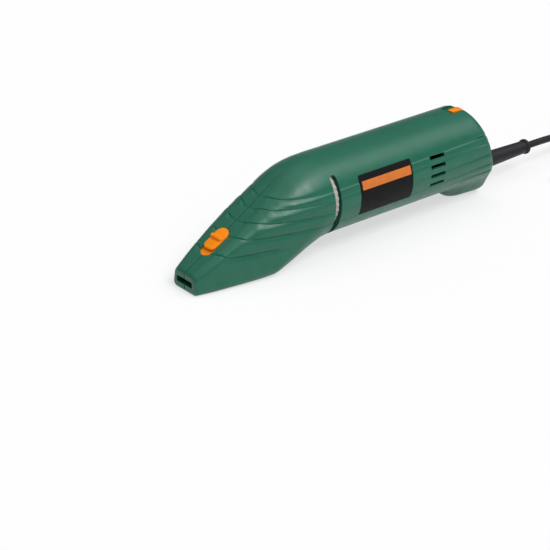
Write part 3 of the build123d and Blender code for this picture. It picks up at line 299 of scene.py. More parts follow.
finishes = {slot: makeFinish(slot, look) for slot, look in looks.items()}
for subpart in frame["record"]["subparts"]:
    for held in nodes[subpart["node"]].material_slots:
        held.material = finishes[subpart["material_slot"]]
print("finishes:", len(finishes))


def smoothen(mesh, angle):
    mesh.shade_smooth()
    mesh.set_sharp_from_angle(angle=math.radians(angle))


def makePiece(name, bm, slots, smoothAngle=30.0):
    piece = plainObject(name, bm)
    for slot in slots:
        piece.data.materials.append(finishes[slot])
    smoothen(piece.data, smoothAngle)
    return piece


def settle(piece, slot, *replaced, body="tool"):
    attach(piece, body)
    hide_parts(*replaced)
    return piece


def carve(piece, cutter, how="DIFFERENCE"):
    change = piece.modifiers.new("carve", "BOOLEAN")
    change.operation = how
    change.solver = "MANIFOLD"
    change.object = cutter
    bpy.context.view_layer.update()
    shaped = piece.evaluated_get(bpy.context.evaluated_depsgraph_get())
    done = bpy.data.meshes.new_from_object(shaped)
    piece.modifiers.clear()
    before = piece.data
    piece.data = done
    bpy.data.meshes.remove(before)
    tool = cutter.data
    bpy.data.objects.remove(cutter)
    bpy.data.meshes.remove(tool)


def freshVerts(bm, before):
    return [v for v in bm.verts if v not in before]


def roundOff(bm, geom, offset, segments, affect="EDGES"):
    bmesh.ops.bevel(bm, geom=geom, offset=offset, affect=affect, segments=segments,
                    profile=0.5, material=-1)


def addBlock(bm, low, high, rounding=0.0, axis=2, place=None, segments=5):
    before = set(bm.verts)
    made = bmesh.ops.create_cube(bm, size=1.0)["verts"]
    size = Vector(high) - Vector(low)
    bmesh.ops.scale(bm, vec=size, verts=made)
    bmesh.ops.translate(bm, vec=(Vector(low) + Vector(high)) / 2, verts=made)
    if rounding:  # of the edges along the axis
        rims = [e for e in bm.edges if e.verts[0] in made
                and abs((e.verts[0].co - e.verts[1].co)[axis]) > 0.5 * size[axis]]
        roundOff(bm, rims, rounding, segments)
    fresh = freshVerts(bm, before)
    if place:
        bmesh.ops.transform(bm, matrix=place, verts=fresh)
    return fresh


def addRod(bm, start, end, radius, segments=32):
    way = Vector(end) - Vector(start)
    turn = way.to_track_quat("Z", "Y").to_matrix().to_4x4()
    middle = Matrix.Translation((Vector(start) + Vector(end)) / 2)
    bmesh.ops.create_cone(bm, cap_ends=True, segments=segments, radius1=radius, radius2=radius,
                          depth=way.length, matrix=middle @ turn)


def addTurned(bm, profile, steps):  # a closed outline of x and radius, spun round the x axis
    dots = [bm.verts.new((x, 0, r)) for x, r in profile]
    rims = [bm.edges.new(pair) for pair in zip(dots, dots[1:])]
    rims.append(bm.edges.new((dots[-1], dots[0])))
    bmesh.ops.spin(bm, geom=dots + rims, cent=(0, 0, 0), axis=(1, 0, 0), angle=math.tau, steps=steps,
                   use_merge=True)
    bmesh.ops.remove_doubles(bm, verts=bm.verts, dist=tiny)


def finished(bm):  # with its normals outwards, in metres
    bmesh.ops.recalc_face_normals(bm, faces=bm.faces)
    bmesh.ops.scale(bm, vec=(mm, mm, mm), verts=bm.verts)
    return bm


# The lead: route points first, then the turns of the coil, then its tail, all one spline
lead = {
    "radius": 2.8,
    "length": 1.988,  # in metres
    "order": 3,
    "roundSteps": 5,
    "lengthSteps": 5,
    "route": [(200, 0, 19.5), (233, 0, 19.5), (258, 7.5, 10.8), (281, 18.6, 4.6), (301, 28.4, 3.8),
              (320.4, 28.4, 3.8)],
    "coilCentre": (326.0, -9.0),
    "coilRadius": 37.4,
    "coilFloor": 3.8,
    "turns": 2,
    "layers": 4,
    "pitch": 7.2,
    "rise": 6.7,
    "perHalf": 8,
    "tail": [(320.4, -46.4, 23.9), (297.6, -46.4, 23.9), (280.09, -46.4, 9.3), (257.29, -46.4, 9.3)],
}


def coilPoints():
    radius, height = lead["coilRadius"], lead["coilFloor"]
    marks = [(radius, height)]
    for layer in range(lead["layers"]):
        step = lead["pitch"] / 2 if layer % 2 else -lead["pitch"] / 2
        for half in range(2 * lead["turns"]):
            radius += step
            marks.append((radius, height))
        if layer < lead["layers"] - 1:
            height += lead["rise"]
            marks.append((radius, height))
    count = lead["perHalf"]
    out = 1 / math.cos(math.pi / (2 * count))  # control points stand a little outside the turn
    for half, (now, then) in enumerate(zip(marks, marks[1:])):
        for k in range(count):
            share = (k + 0.5) / count
            angle = math.pi / 2 - math.pi * (half + share)
            r = (now[0] + (then[0] - now[0]) * share) * out
            z = now[1] + (then[1] - now[1]) * ease(0, 1, share)
            x = lead["coilCentre"][0] + r * math.cos(angle)
            y = lead["coilCentre"][1] + r * math.sin(angle)
            yield x, y, z


leadCurve = bpy.data.curves.new("mains_lead", "CURVE")
leadCurve.dimensions = "3D"
leadCurve.bevel_depth = lead["radius"] * mm
leadCurve.bevel_resolution = lead["roundSteps"]
leadCurve.resolution_u = lead["lengthSteps"]
leadCurve.use_fill_caps = True
leadPoints = [*lead["route"], *coilPoints(), *lead["tail"]]
spline = leadCurve.splines.new("NURBS")
spline.points.add(len(leadPoints) - 1)
for spot, point in zip(spline.points, leadPoints):
    spot.co = (*[c * mm for c in point], 1.0)
spline.order_u = lead["order"]
spline.use_endpoint_u = True
leadCurve.materials.append(finishes["lead"])
leadPiece = bpy.data.objects.new("mains_lead", leadCurve)
scene.collection.objects.link(leadPiece)
settle(leadPiece, "lead", "power_cord", "cord_coil", "cord_end")
print("lead points:", len(leadPoints))


# Outer form of the housing
leftSide, rightSide = -1, 1  # signs of y
nose = {
    "tip": -141.0,
    "length": 120.5,
    "halfWidth": (11.4, 31.0),
    "top": (14.6, 73.0),
    "bottom": (0.0, 11.0),
    "topCorner": (4.5, 31.0),
    "bottomCorner": (4.0, 31.0),
    "leastCorner": 1.0,
    "frontEdge": 2.0,
    "flare": [(-141, 2.4), (-100, 2.6), (-75, 1.6), (-50, 0.0)],
    "stations": [  # share of the length, then how far each size has grown there
        (0.0, 0.0, 0.0, 0.0, 0.0, 0.0),
        (0.112, 0.163, 0.134, 0.0, 0.02, 0.02),
        (0.2365, 0.306, 0.284, 0.0, 0.057, 0.056),
        (0.4025, 0.49, 0.485, 0.0, 0.19, 0.11),
        (0.5187, 0.628, 0.635, 0.02, 0.40, 0.17),
        (0.61, 0.73, 0.753, 0.2, 0.594, 0.338),
        (0.718, 0.847, 0.887, 0.51, 0.785, 0.564),
        (0.8174, 0.939, 0.964, 0.78, 0.92, 0.79),
        (0.917, 0.985, 0.995, 0.955, 0.985, 0.959),
        (1.0, 1.0, 1.0, 1.0, 1.0, 1.0),
    ],
}
barrel = {
    "axis": 42.0,
    "radius": 31.0,
    "start": -20.5,
    "rear": 132.7,
    "lean": 13.0,
    "leanFrom": 84.0,
    "rim": 7.0,
    "wall": 2.8,
}
heel = {  # ends, radius and shoulder have a front and a rear value
    "ends": (102.5, 145.6),
    "radius": (6.0, 21.0),
    "shoulder": (30.0, 37.5),
    "full": 119.0,
    "soft": 2.0,
    "clear": 0.1,  # kept inside the barrel's width
    "fade": (0.97, 1.47),  # radians from straight down
    "rim": 0.35,  # how much of the barrel's rear rounding it keeps
    "rimFade": (0.9, 1.75),  # radians from straight down
}
flutes = {  # lines in x and z on the side, from the top one down
    "lines": [
        {"crease": [(-72.5, 55.4), (-60.2, 55.1), (-45.6, 54.3), (-29.3, 54.3), (-15, 54.4), (135, 57.2)],
         "ridge": [(-72.5, 55.0), (-66, 52.8), (-60.5, 51.8), (-28.8, 52.9), (135, 55.8)]},
        {"crease": [(-82.2, 49.4), (-80, 50), (-71.8, 49.6), (-60.8, 48.8), (-27, 47.8), (-15, 48.1),
                    (135, 51.8)],
         "ridge": [(-82.2, 48.9), (-79, 46.1), (-59.3, 45.5), (-33.4, 46.3), (-15, 46.5), (135, 50.3)]},
        {"crease": [(-93.2, 42.5), (-88.7, 43.2), (-82.3, 42.4), (-73, 41.3), (-27, 38.6), (-15, 39.2),
                    (135, 42.1)],
         "ridge": [(-93.2, 42.0), (-87.3, 39.0), (-60.7, 37.8), (-30.5, 37.0), (-15, 37.7), (135, 40.5)]},
        {"crease": [(-105.8, 35.1), (-103, 34.7), (-96, 33.7), (-83.5, 32.3), (-27, 30), (-15, 29.9),
                    (135, 33.2)],
         "ridge": [(-105.8, 34.6), (-97.9, 29.9), (-67.8, 29.3), (-31.5, 28.4), (-15, 28.4), (135, 31.7)]},
        {"crease": [(-121.3, 26.0), (-119.5, 25.7), (-110.7, 23.5), (-103.9, 23.0), (-62, 21.5),
                    (-15, 24.2), (135, 26.4)],
         "ridge": [(-121.3, 25.5), (-116.6, 21), (-107.3, 19.4), (-96.2, 19.0), (-83.5, 19.8),
                   (-61.9, 19.7), (-15, 22.9), (135, 25.1)]},
    ],
    "frontShares": (0.10, 0.115, 0.13, 0.145, 0.16),  # where the lines run on, unseen, to the tip
    "frontStep": 0.006,
    "depth": [(-75, 1.25), (-45, 0.8), (-30, 0.5), (-15, 0.34), (75, 0.34), (105, 0.55), (127, 1.0)],
    "topExtra": 0.5,  # share that the first crease is deeper on the barrel
    "topExtraIn": (-45.0, -15.0),
    "rampIn": (2.0, 12.0),
    "turnIn": 1.3,  # width of the groove above each crease
    "topTurn": [(-60, 1.3), (-25, 6.0), (100, 6.0), (125, 3.0)],  # and above the first one
    "turnShare": 0.6,  # most of a bay that the groove takes
    "sag": 0.25,
    "riser": [(-70, 2.8), (-45, 1.4), (-15, 0.6)],  # least width below each crease
    "riserIn": (-1.5, 1.0),  # from where to where it widens at the start of a crease
    "riserBow": 1.25,
    "leastRiser": 0.25,
    "roofDepth": (0.4, 0.8),  # where the creases cross the roof, at the seam and at the side
    "roofGrow": (0.3, 0.9),  # shares of the way to the side
    "roofBow": 3,  # how squarely the lines bend
    "roofSharp": 1.5,
    "roofTurn": 1.0,
    "roofRise": 3.6,
    "roofBend": (-1.5, 9.0),  # from where to where the lines bend back to the side
    "lowestFade": (-90.0, -60.0),
    "lowestBack": (70.0, 110.0),
    "topColumns": 30,
    "riserColumns": 4,
    "bayColumns": 5,
    "turnColumns": 6,
    "bottomColumns": 42,
    "seam": (0.3, 0.08),  # depth of the parting line at its edge and beside it
    "seamStep": 0.35,
    "seamFade": (-75.0, -50.0),  # closed up on the barrel
    "seamShut": 0.9,
    "seamGap": (0.22, 0.05),
}


def sectionAt(x, inset=0.0):
    share = min(1.0, max(0.0, (x - nose["tip"]) / nose["length"]))
    grown = [along([(s[0], s[k]) for s in nose["stations"]], share) for k in range(1, 6)]
    names = ("halfWidth", "top", "bottom", "topCorner", "bottomCorner")
    w, t, b, rt, rb = [nose[n][0] + (nose[n][1] - nose[n][0]) * g for n, g in zip(names, grown)]
    rt, rb = min(rt, w), min(rb, w)
    least = nose["leastCorner"]
    return w - inset, t - inset, b + inset, max(least, rt - inset), max(least, rb - inset)


def sectionLength(section):
    w, t, b, rt, rb = section
    return (w - rt) + rt * math.pi / 2 + max(0.0, t - rt - b - rb) + rb * math.pi / 2 + (w - rb)


def pointAt(section, s):  # s runs from the top middle round the side to the bottom middle
    w, t, b, rt, rb = section
    if s <= w - rt:
        return s, t
    s -= w - rt
    if s <= rt * math.pi / 2:
        return w - rt + rt * math.sin(s / rt), t - rt + rt * math.cos(s / rt)
    s -= rt * math.pi / 2
    side = max(0.0, t - rt - b - rb)
    if s <= side:
        return w, t - rt - s
    s -= side
    if s <= rb * math.pi / 2:
        return w - rb + rb * math.cos(s / rb), b + rb - rb * math.sin(s / rb)
    s -= rb * math.pi / 2
    return max(0.0, w - rb - s), b


def lengthAt(section, z):  # the s of a height on the side
    w, t, b, rt, rb = section
    if z > t - rt:
        return w - rt + rt * math.acos(min(1.0, (z - t + rt) / rt))
    side = max(0.0, t - rt - b - rb)
    if z >= t - rt - side:
        return w - rt + rt * math.pi / 2 + t - rt - z
    return w - rt + rt * math.pi / 2 + side + rb * math.asin(min(1.0, (b + rb - z) / rb))


def lineAt(points, frontShare, x, section):
    startX = points[0][0]
    if x >= startX:
        return lengthAt(section, along(points, x))
    start = sectionAt(startX)
    startShare = lengthAt(start, points[0][1]) / sectionLength(start)
    t = (x - nose["tip"]) / (startX - nose["tip"])
    return (frontShare + (startShare - frontShare) * t * t) * sectionLength(section)


def bayColumns(start, end, depth, count, sag, turnIn):  # nearly level, then in sharply above the crease
    turn = min(turnIn, flutes["turnShare"] * (end - start))
    level = end - turn - start
    columns = [(start + level * k / count, depth * sag * (k / count) ** 2) for k in range(count)]
    for k in range(flutes["turnColumns"]):
        t = k / flutes["turnColumns"]
        columns.append((end - turn * (1 - t), depth * (sag + (1 - sag) * t * t)))
    return columns


def roofLinesAt(x):  # the creases that cross the roof near here: start, end of the bend, place on the side
    near = []
    for line in flutes["lines"]:
        startX = line["crease"][0][0]
        firstX, lastX = [startX + step for step in flutes["roofBend"]]
        if firstX - flutes["roofRise"] < x < lastX + flutes["roofTurn"]:
            sideX = max(x, startX)
            near.append((firstX, lastX, lengthAt(sectionAt(sideX), along(line["crease"], sideX))))
    return near


def crossingAt(x, s, roofLines):  # each crease starts as a line across the roof that bends to the rear
    depth = 0.0
    shallow, deep = flutes["roofDepth"]
    bow = flutes["roofBow"]
    for firstX, lastX, reach in roofLines:
        share = min(1.0, s / reach)
        past = x - firstX - (lastX - firstX) * (1 - (1 - share ** bow) ** (1 / bow))
        near = 1 - past / flutes["roofTurn"] if past > 0 else 1 + past / flutes["roofRise"]
        if near > 0:
            grown = shallow + (deep - shallow) * ease(*flutes["roofGrow"], share)
            grown *= 1 - ease(reach, reach + flutes["roofRise"], s)
            depth = max(depth, grown * near ** flutes["roofSharp"])
    return depth


def columnsAt(x, section):  # every column's s and depth, with columns on the creases and ridges
    whole = sectionLength(section)
    step = flutes["seamStep"]
    marks, depths = [], []
    for k, line in enumerate(flutes["lines"]):
        share = flutes["frontShares"][k]
        start = line["crease"][0][0]
        riserFrom, riserTo = [start + move for move in flutes["riserIn"]]
        rampFrom, rampTo = [start + move for move in flutes["rampIn"]]
        least = flutes["leastRiser"]
        least += (along(flutes["riser"], x) - least) * ease(riserFrom, riserTo, x)
        marks.append(lineAt(line["crease"], share, x, section))
        ridge = lineAt(line["ridge"], share + flutes["frontStep"], x, section)
        marks.append(max(marks[-1] + least, ridge))
        depth = along(flutes["depth"], x) * ease(rampFrom, rampTo, x)
        if k == len(flutes["lines"]) - 1:
            depth *= 1 - ease(*flutes["lowestFade"], x) + ease(*flutes["lowestBack"], x)
        depths.append(depth)
    shut = 1 - flutes["seamShut"] * ease(*flutes["seamFade"], x)
    edge, beside = [depth * shut for depth in flutes["seam"]]
    columns = [(0.0, edge), (step, beside)]
    depths[0] *= 1 + flutes["topExtra"] * ease(*flutes["topExtraIn"], x)
    topTurn = along(flutes["topTurn"], x)
    columns += bayColumns(2 * step, marks[0], depths[0], flutes["topColumns"], 0.0, topTurn)
    for k, depth in enumerate(depths):
        crease, ridge = marks[2 * k], marks[2 * k + 1]
        for i in range(flutes["riserColumns"]):
            t = i / flutes["riserColumns"]
            columns.append((crease + (ridge - crease) * t, depth * (1 - t) ** flutes["riserBow"]))
        if k + 1 < len(depths):
            columns += bayColumns(ridge, marks[2 * k + 2], depths[k + 1], flutes["bayColumns"],
                                  flutes["sag"], flutes["turnIn"])
    low = marks[-1]
    for k in range(flutes["bottomColumns"] + 1):
        columns.append((low + (whole - 2 * step - low) * k / flutes["bottomColumns"], 0.0))
    columns += [(whole - step, beside), (whole, edge)]
    roofLines = roofLinesAt(x)
    return [(s, max(depth, crossingAt(x, s, roofLines))) for s, depth in columns]


def heelAt(h, z, x):  # pushes the underside down and out at the rear end
    down = barrel["axis"] - z
    place = leaned(x, z)
    grown = min(1.0, max(0.0, (place - heel["ends"][0]) / (heel["full"] - heel["ends"][0])))
    if grown <= 0 or down <= 0:
        return h, z
    grown = math.sqrt(1 - (1 - grown) ** 2)
    share = (place - heel["ends"][0]) / (heel["ends"][1] - heel["ends"][0])
    under, shoulder = [heel[n][0] + (heel[n][1] - heel[n][0]) * share for n in ("radius", "shoulder")]
    centre = barrel["axis"] - under
    root = (shoulder * centre) ** 2 - (centre ** 2 - under ** 2) * (shoulder ** 2 - under ** 2)
    # The flank is straight and touches the round underside
    flank = (shoulder ** 2 - under ** 2) / (shoulder * centre + math.sqrt(root))
    side = math.sqrt(1 + flank * flank)
    angle = math.atan2(h, down)
    if angle < math.atan2(under / side, centre + under * flank / side):
        reach = centre * math.cos(angle) + math.sqrt(under ** 2 - (centre * math.sin(angle)) ** 2)
    else:
        reach = shoulder / (math.sin(angle) + flank * math.cos(angle))
    r = math.hypot(h, down)
    gap = reach - barrel["radius"]
    push = (gap + math.hypot(gap, heel["soft"])) / 2 * grown * (1 - ease(*heel["fade"], angle))
    wide = min(h * (r + push) / r, max(h, barrel["radius"] - heel["clear"]))
    return wide, max(0.0, barrel["axis"] - down * (r + push) / r)


def flared(h, z, x, section):  # the nose is wider towards its sole
    low = max(0.0, 1 - z / section[1])
    return h * (1 + along(nose["flare"], x) * low / section[0]), z


def ringAt(x, columns, section, inset):
    flat = [heelAt(*flared(*pointAt(section, s), x, section), x) for s, depth in columns]
    ring = []
    for k, (h, z) in enumerate(flat):
        before, after = flat[max(0, k - 1)], flat[min(len(flat) - 1, k + 1)]
        dh, dz = after[0] - before[0], after[1] - before[1]
        size = math.hypot(dh, dz) or 1.0
        nh, nz = -dz / size, dh / size  # outwards
        if k in (0, len(flat) - 1):
            nh, nz = 0.0, 1.0 if k == 0 else -1.0
        if x > heel["ends"][0]:
            low = 1 - ease(*heel["rimFade"], math.atan2(h, barrel["axis"] - z))
            move = inset * (1 - (1 - heel["rim"]) * low) + columns[k][1]
        else:
            move = inset + columns[k][1]
        ring.append((max(0.0, h - nh * move), z - nz * move))
    return ring


skin = {
    "endShares": (0.0, 0.03, 0.06, 0.35, 0.7),  # of the width, for the rows across each end
    "seamShare": 0.05,  # rows under this share sink with the seam
    "frontRows": 6,
    "rearRows": 10,
    "rearCalm": 0.85,  # share of the creases' depth that is lost round the rear rim
    "gaps": [  # x, and the gap between rows from there on
        (nose["tip"] + nose["frontEdge"], 0.9), (-128.0, 0.45), (-64.0, 1.0), (barrel["start"], 2.2),
        (99.0, 0.5), (106.0, 1.0), (112.0, 2.0), (barrel["rear"] - barrel["rim"], 0.0),
    ],
    "smoothAngle": 20.0,
}


def skinRows():  # x, inset, share of the width, share of the flutes' depth
    edge, rim = nose["frontEdge"], barrel["rim"]
    rows = [(nose["tip"], edge, share, 0.0) for share in skin["endShares"]]
    for k in range(skin["frontRows"] + 1):
        a = math.pi / 2 * k / skin["frontRows"]
        rows.append((nose["tip"] + edge * (1 - math.cos(a)), edge * (1 - math.sin(a)), 1.0, 1.0))
    for (x0, gap), after in zip(skin["gaps"], skin["gaps"][1:]):
        x1 = after[0]
        count = round((x1 - x0) / gap)
        rows += [(x0 + (x1 - x0) * k / count, 0.0, 1.0, 1.0) for k in range(1, count + 1)]
    for k in range(1, skin["rearRows"] + 1):
        a = math.pi / 2 * k / skin["rearRows"]
        x = barrel["rear"] - rim + rim * math.sin(a)
        rows.append((x, rim * (1 - math.cos(a)), 1.0, 1 - skin["rearCalm"] * math.sin(a) ** 2))
    rows += [(barrel["rear"], rim, share, 0.0) for share in reversed(skin["endShares"])]
    return rows


def leaned(x, z):
    share = ease(barrel["leanFrom"], barrel["rear"] - barrel["rim"], x)
    return x + (barrel["axis"] - z) * math.tan(math.radians(barrel["lean"])) * share


def wrapGrid(bm, rings, closed=False):  # lays a grid over a list of rings of (x, y, z)
    across, length = len(rings[0]) - 1, len(rings) - 1
    bmesh.ops.create_grid(bm, x_segments=across, y_segments=length, size=0.5)
    for v in bm.verts:
        v.co = rings[round((v.co.y + 0.5) * length)][round((v.co.x + 0.5) * across)]
    if closed:  # each ring ends where it starts
        bmesh.ops.remove_doubles(bm, verts=bm.verts, dist=tiny)
        bmesh.ops.holes_fill(bm, edges=[e for e in bm.edges if e.is_boundary])
    else:
        bmesh.ops.contextual_create(bm, geom=[e for e in bm.edges if e.is_boundary])
    bmesh.ops.triangulate(bm, faces=[f for f in bm.faces if len(f.verts) > 4])


def makeSkin(side):
    rings = []
    for x, inset, share, fluted in skinRows():
        section = sectionAt(x)
        columns = columnsAt(x, section)
        if fluted < 1:
            edges = (0, 1, len(columns) - 2, len(columns) - 1)
            columns = [(s, d if k in edges else d * fluted) for k, (s, d) in enumerate(columns)]
        if share < skin["seamShare"]:
            sunk = flutes["seam"][0] if share == 0 else flutes["seam"][1]
            x += sunk if x < 0 else -sunk
        noseGap, barrelGap = flutes["seamGap"]
        gap = noseGap + (barrelGap - noseGap) * ease(*flutes["seamFade"], x)
        ring = [(leaned(x, z), side * (gap + h * share), z) for h, z in ringAt(x, columns, section, inset)]
        rings.append(ring)
    bm = bmesh.new()
    wrapGrid(bm, rings)
    return finished(bm)


cavity = {
    "start": -137.4,
    "columns": 56,
    "gap": 2.4,
    "rim": 6.2,
    "rimRows": 6,
    "endShares": (0.0, 0.5),
    "over": 1.0,  # past the middle plane
    "least": 0.2,
}


def makeCavity(side):
    rear = barrel["rear"] - barrel["wall"]
    length = rear - cavity["rim"] - cavity["start"]
    count = round(length / cavity["gap"])
    rows = [(cavity["start"], 0.0, share) for share in cavity["endShares"]]
    rows += [(cavity["start"] + length * k / count, 0.0, 1.0) for k in range(count + 1)]
    for k in range(1, cavity["rimRows"] + 1):
        a = math.pi / 2 * k / cavity["rimRows"]
        rows.append((rear - cavity["rim"] * (1 - math.sin(a)), cavity["rim"] * (1 - math.cos(a)), 1.0))
    rows += [(rear, cavity["rim"], share) for share in reversed(cavity["endShares"])]
    rings = []
    for x, inset, share in rows:
        section = sectionAt(x, barrel["wall"])
        whole = sectionLength(section)
        columns = [(whole * k / cavity["columns"], 0.0) for k in range(cavity["columns"] + 1)]
        ring = []
        for k, (h, z) in enumerate(ringAt(x, columns, section, inset)):
            inside = share > 0 and 0 < k < cavity["columns"]
            y = max(cavity["least"], h * share) if inside else -cavity["over"]
            ring.append((leaned(x, z), side * y, z))
        rings.append(ring)
    bm = bmesh.new()
    wrapGrid(bm, rings)
    return finished(bm)


# A plate bent round the barrel, with low and high in degrees above the side
def makeStrip(bm, x0, x1, low, high, inner, outer, corner, side, cuts=24, segments=5):
    radius = barrel["radius"]
    before = set(bm.verts)
    v0, v1 = math.radians(low) * radius, math.radians(high) * radius
    corners = [bm.verts.new(p) for p in ((x0, v0, 0), (x1, v0, 0), (x1, v1, 0), (x0, v1, 0))]
    bm.faces.new(corners)
    if corner:
        roundOff(bm, corners, corner, segments, "VERTICES")
    for k in range(1, cuts):
        fresh = freshVerts(bm, before)
        geom = fresh + [part for part in (*bm.edges, *bm.faces) if part.verts[0] in fresh]
        bmesh.ops.bisect_plane(bm, geom=geom, plane_co=(0, v0 + (v1 - v0) * k / cuts, 0),
                               plane_no=(0, 1, 0), dist=1e-5)
    fresh = set(freshVerts(bm, before))
    faces = [f for f in bm.faces if f.verts[0] in fresh]
    lifted = bmesh.ops.extrude_face_region(bm, geom=faces, use_keep_orig=True)["geom"]
    raised = [part for part in lifted if isinstance(part, bmesh.types.BMVert)]
    bmesh.ops.translate(bm, vec=(0, 0, outer - inner), verts=raised)
    for v in freshVerts(bm, before):
        angle, r = v.co.y / radius, inner + v.co.z
        v.co = (v.co.x, side * r * math.cos(angle), barrel["axis"] + r * math.sin(angle))


openings = {
    "throughWall": (-5.0, 3.0),  # how far the side's cutters reach in and out from the barrel's radius
    "slit": {"x": (-27.7, -22.0), "angles": (-62.0, 45.0), "corner": 2.8, "cuts": 36},
    "vents": {"x": (66.0, 80.5), "height": 2.9, "angles": (23.5, 10.0, -3.5, -17.0), "cuts": 2},
    "plateBed": {"x": (-3.8, 47.5), "angles": (-25.5, 33.4), "depth": 0.4, "corner": 1.3},
    "recess": {"low": (108.8, -7.5, 70.45), "high": (140.0, 7.5, 80.0), "corner": 2.8},
    "stemSlot": {"low": (113.75, -2.1, 60.0), "high": (122.85, 2.1, 71.0), "corner": 0.8},
    "slider": {"origin": (-113.8, 0.0, 30.5), "slope": 30.35, "size": (26.2, 12.6), "depth": 6.0,
               "cornerGap": 0.01, "segments": 12,
               "pocket": ((-22.6, -7.7, -4.0), (18.0, 7.7, -1.15)), "pocketCorner": 3.0},
    "bladeSlot": {"low": (-145.0, -8.8, 5.2), "high": (-130.0, 8.8, 9.8), "corner": 0.6},
    "relief": {"x": (128.0, 150.0), "z": 19.5, "radius": 6.4, "segments": 48},
    "screws": {"places": [(-92, 30), (-52, 55), (-50, 15), (96, 62), (96, 20)], "boss": 5.0, "well": 3.3,
               "floor": 8.6, "seat": 10.0, "outside": 60.0},
}


def slopePlace():
    spot = openings["slider"]
    return Matrix.Translation(spot["origin"]) @ Matrix.Rotation(-math.radians(spot["slope"]), 4, "Y")


def makeCutters(side):
    bm = bmesh.new()
    inner, outer = [barrel["radius"] + step for step in openings["throughWall"]]
    if side == leftSide:
        slit, bed = openings["slit"], openings["plateBed"]
        makeStrip(bm, *slit["x"], *slit["angles"], inner, outer, slit["corner"], side, cuts=slit["cuts"])
        bedRadius = barrel["radius"] - bed["depth"]
        makeStrip(bm, *bed["x"], *bed["angles"], bedRadius, outer, bed["corner"], side)
    vents = openings["vents"]
    half = math.degrees(vents["height"] / 2 / barrel["radius"])
    for angle in vents["angles"]:
        makeStrip(bm, *vents["x"], angle - half, angle + half, inner, outer, 0.0, side, cuts=vents["cuts"])
    recess, slot = openings["recess"], openings["bladeSlot"]
    addBlock(bm, recess["low"], recess["high"], recess["corner"])
    addBlock(bm, slot["low"], slot["high"], slot["corner"], axis=0)
    slider = openings["slider"]
    u, v = slider["size"][0] / 2, slider["size"][1] / 2
    addBlock(bm, (-u, -v, -slider["depth"]), (u, v, slider["depth"]), v - slider["cornerGap"],
             place=slopePlace(), segments=slider["segments"])
    relief = openings["relief"]
    x0, x1 = relief["x"]
    addRod(bm, (x0, 0, relief["z"]), (x1, 0, relief["z"]), relief["radius"], relief["segments"])
    if side == rightSide:
        screws = openings["screws"]
        for x, z in screws["places"]:
            addRod(bm, (x, screws["seat"], z), (x, screws["outside"], z), screws["well"])
    return finished(bm)


def makeHousing(name, side):
    shell = makePiece(name, makeSkin(side), ["housing"])
    hollow = plainObject("hollow", makeCavity(side))
    if side == rightSide:
        posts = bmesh.new()
        screws = openings["screws"]
        for x, z in screws["places"]:
            addRod(posts, (x, screws["floor"], z), (x, screws["outside"], z), screws["boss"])
        carve(hollow, plainObject("posts", finished(posts)))
    slider, stem = openings["slider"], openings["stemSlot"]
    pocket = bmesh.new()  # room for the lock's plate under a thinner roof
    addBlock(pocket, *slider["pocket"], slider["pocketCorner"], place=slopePlace())
    carve(hollow, plainObject("pocket", finished(pocket)), "UNION")
    carve(shell, hollow)
    carve(shell, plainObject("cutters", makeCutters(side)))
    slot = bmesh.new()  # the switch's stem goes through the thin floor of its recess
    addBlock(slot, stem["low"], stem["high"], stem["corner"])
    carve(shell, plainObject("stem", finished(slot)))
    smoothen(shell.data, skin["smoothAngle"])
    print(name, "faces:", len(shell.data.polygons))
    return shell


settle(makeHousing("housing_left_shell", leftSide), "housing", "housing_left")
settle(makeHousing("housing_right_shell", rightSide), "housing", "housing_right")


# Name plate with a plain bar
plateSet = {
    "x": (-3.7, 47.4),
    "angles": (-25.3, 33.2),
    "radii": (30.62, 30.93),
    "corner": 1.2,
    "bar": (-1.4, 46.0),
    "barAngles": (11.5, 24.0),
    "barSink": 0.05,
    "barTop": 30.99,
    "barCorner": 0.5,
    "barCuts": 8,
}


def makePlate():
    bm = bmesh.new()
    makeStrip(bm, *plateSet["x"], *plateSet["angles"], *plateSet["radii"], plateSet["corner"], leftSide)
    count = len(bm.faces)
    barFoot = plateSet["radii"][1] - plateSet["barSink"]
    makeStrip(bm, *plateSet["bar"], *plateSet["barAngles"], barFoot, plateSet["barTop"],
              plateSet["barCorner"], leftSide, cuts=plateSet["barCuts"])
    bm.faces.ensure_lookup_table()
    for face in bm.faces[count:]:
        face.material_index = 1
    return makePiece("name_plate_film", finished(bm), ["plate", "bar"])


settle(makePlate(), "plate", "name_plate")
print("name plate made")


def softenTop(bm, verts, offset, segments=3):
    own = set(verts)
    top = max(v.co.z for v in verts)
    rims = [e for e in bm.edges if e.verts[0] in own and all(v.co.z > top - tiny for v in e.verts)]
    rims = [e for e in rims if any(abs(f.normal.z) < 0.5 for f in e.link_faces)]
    roundOff(bm, rims, offset, segments)


# Blade lock, in places along, across and out of the slope of the nose
lockSet = {
    "plate": ((-16.4, -7.2, -2.6), (17.0, 7.2, -1.5)),
    "plateCorner": 3.0,
    "neck": ((-7.3, -5.8, -1.6), (12.5, 5.8, 0.5)),  # fits the opening's round ends
    "neckCorner": 5.7,
    "button": ((-7.4, -5.9, 0.2), (12.6, 5.9, 1.2)),  # passes over the roof
    "frontCorner": 3.4,
    "rearCorner": 5.8,
    "cornerSegments": 10,
    "edge": 0.8,
    "bar": ((1.5, -5.7, 0.8), (4.5, 5.7, 3.2)),
    "barCorner": 1.3,
    "barEdge": 1.1,
}


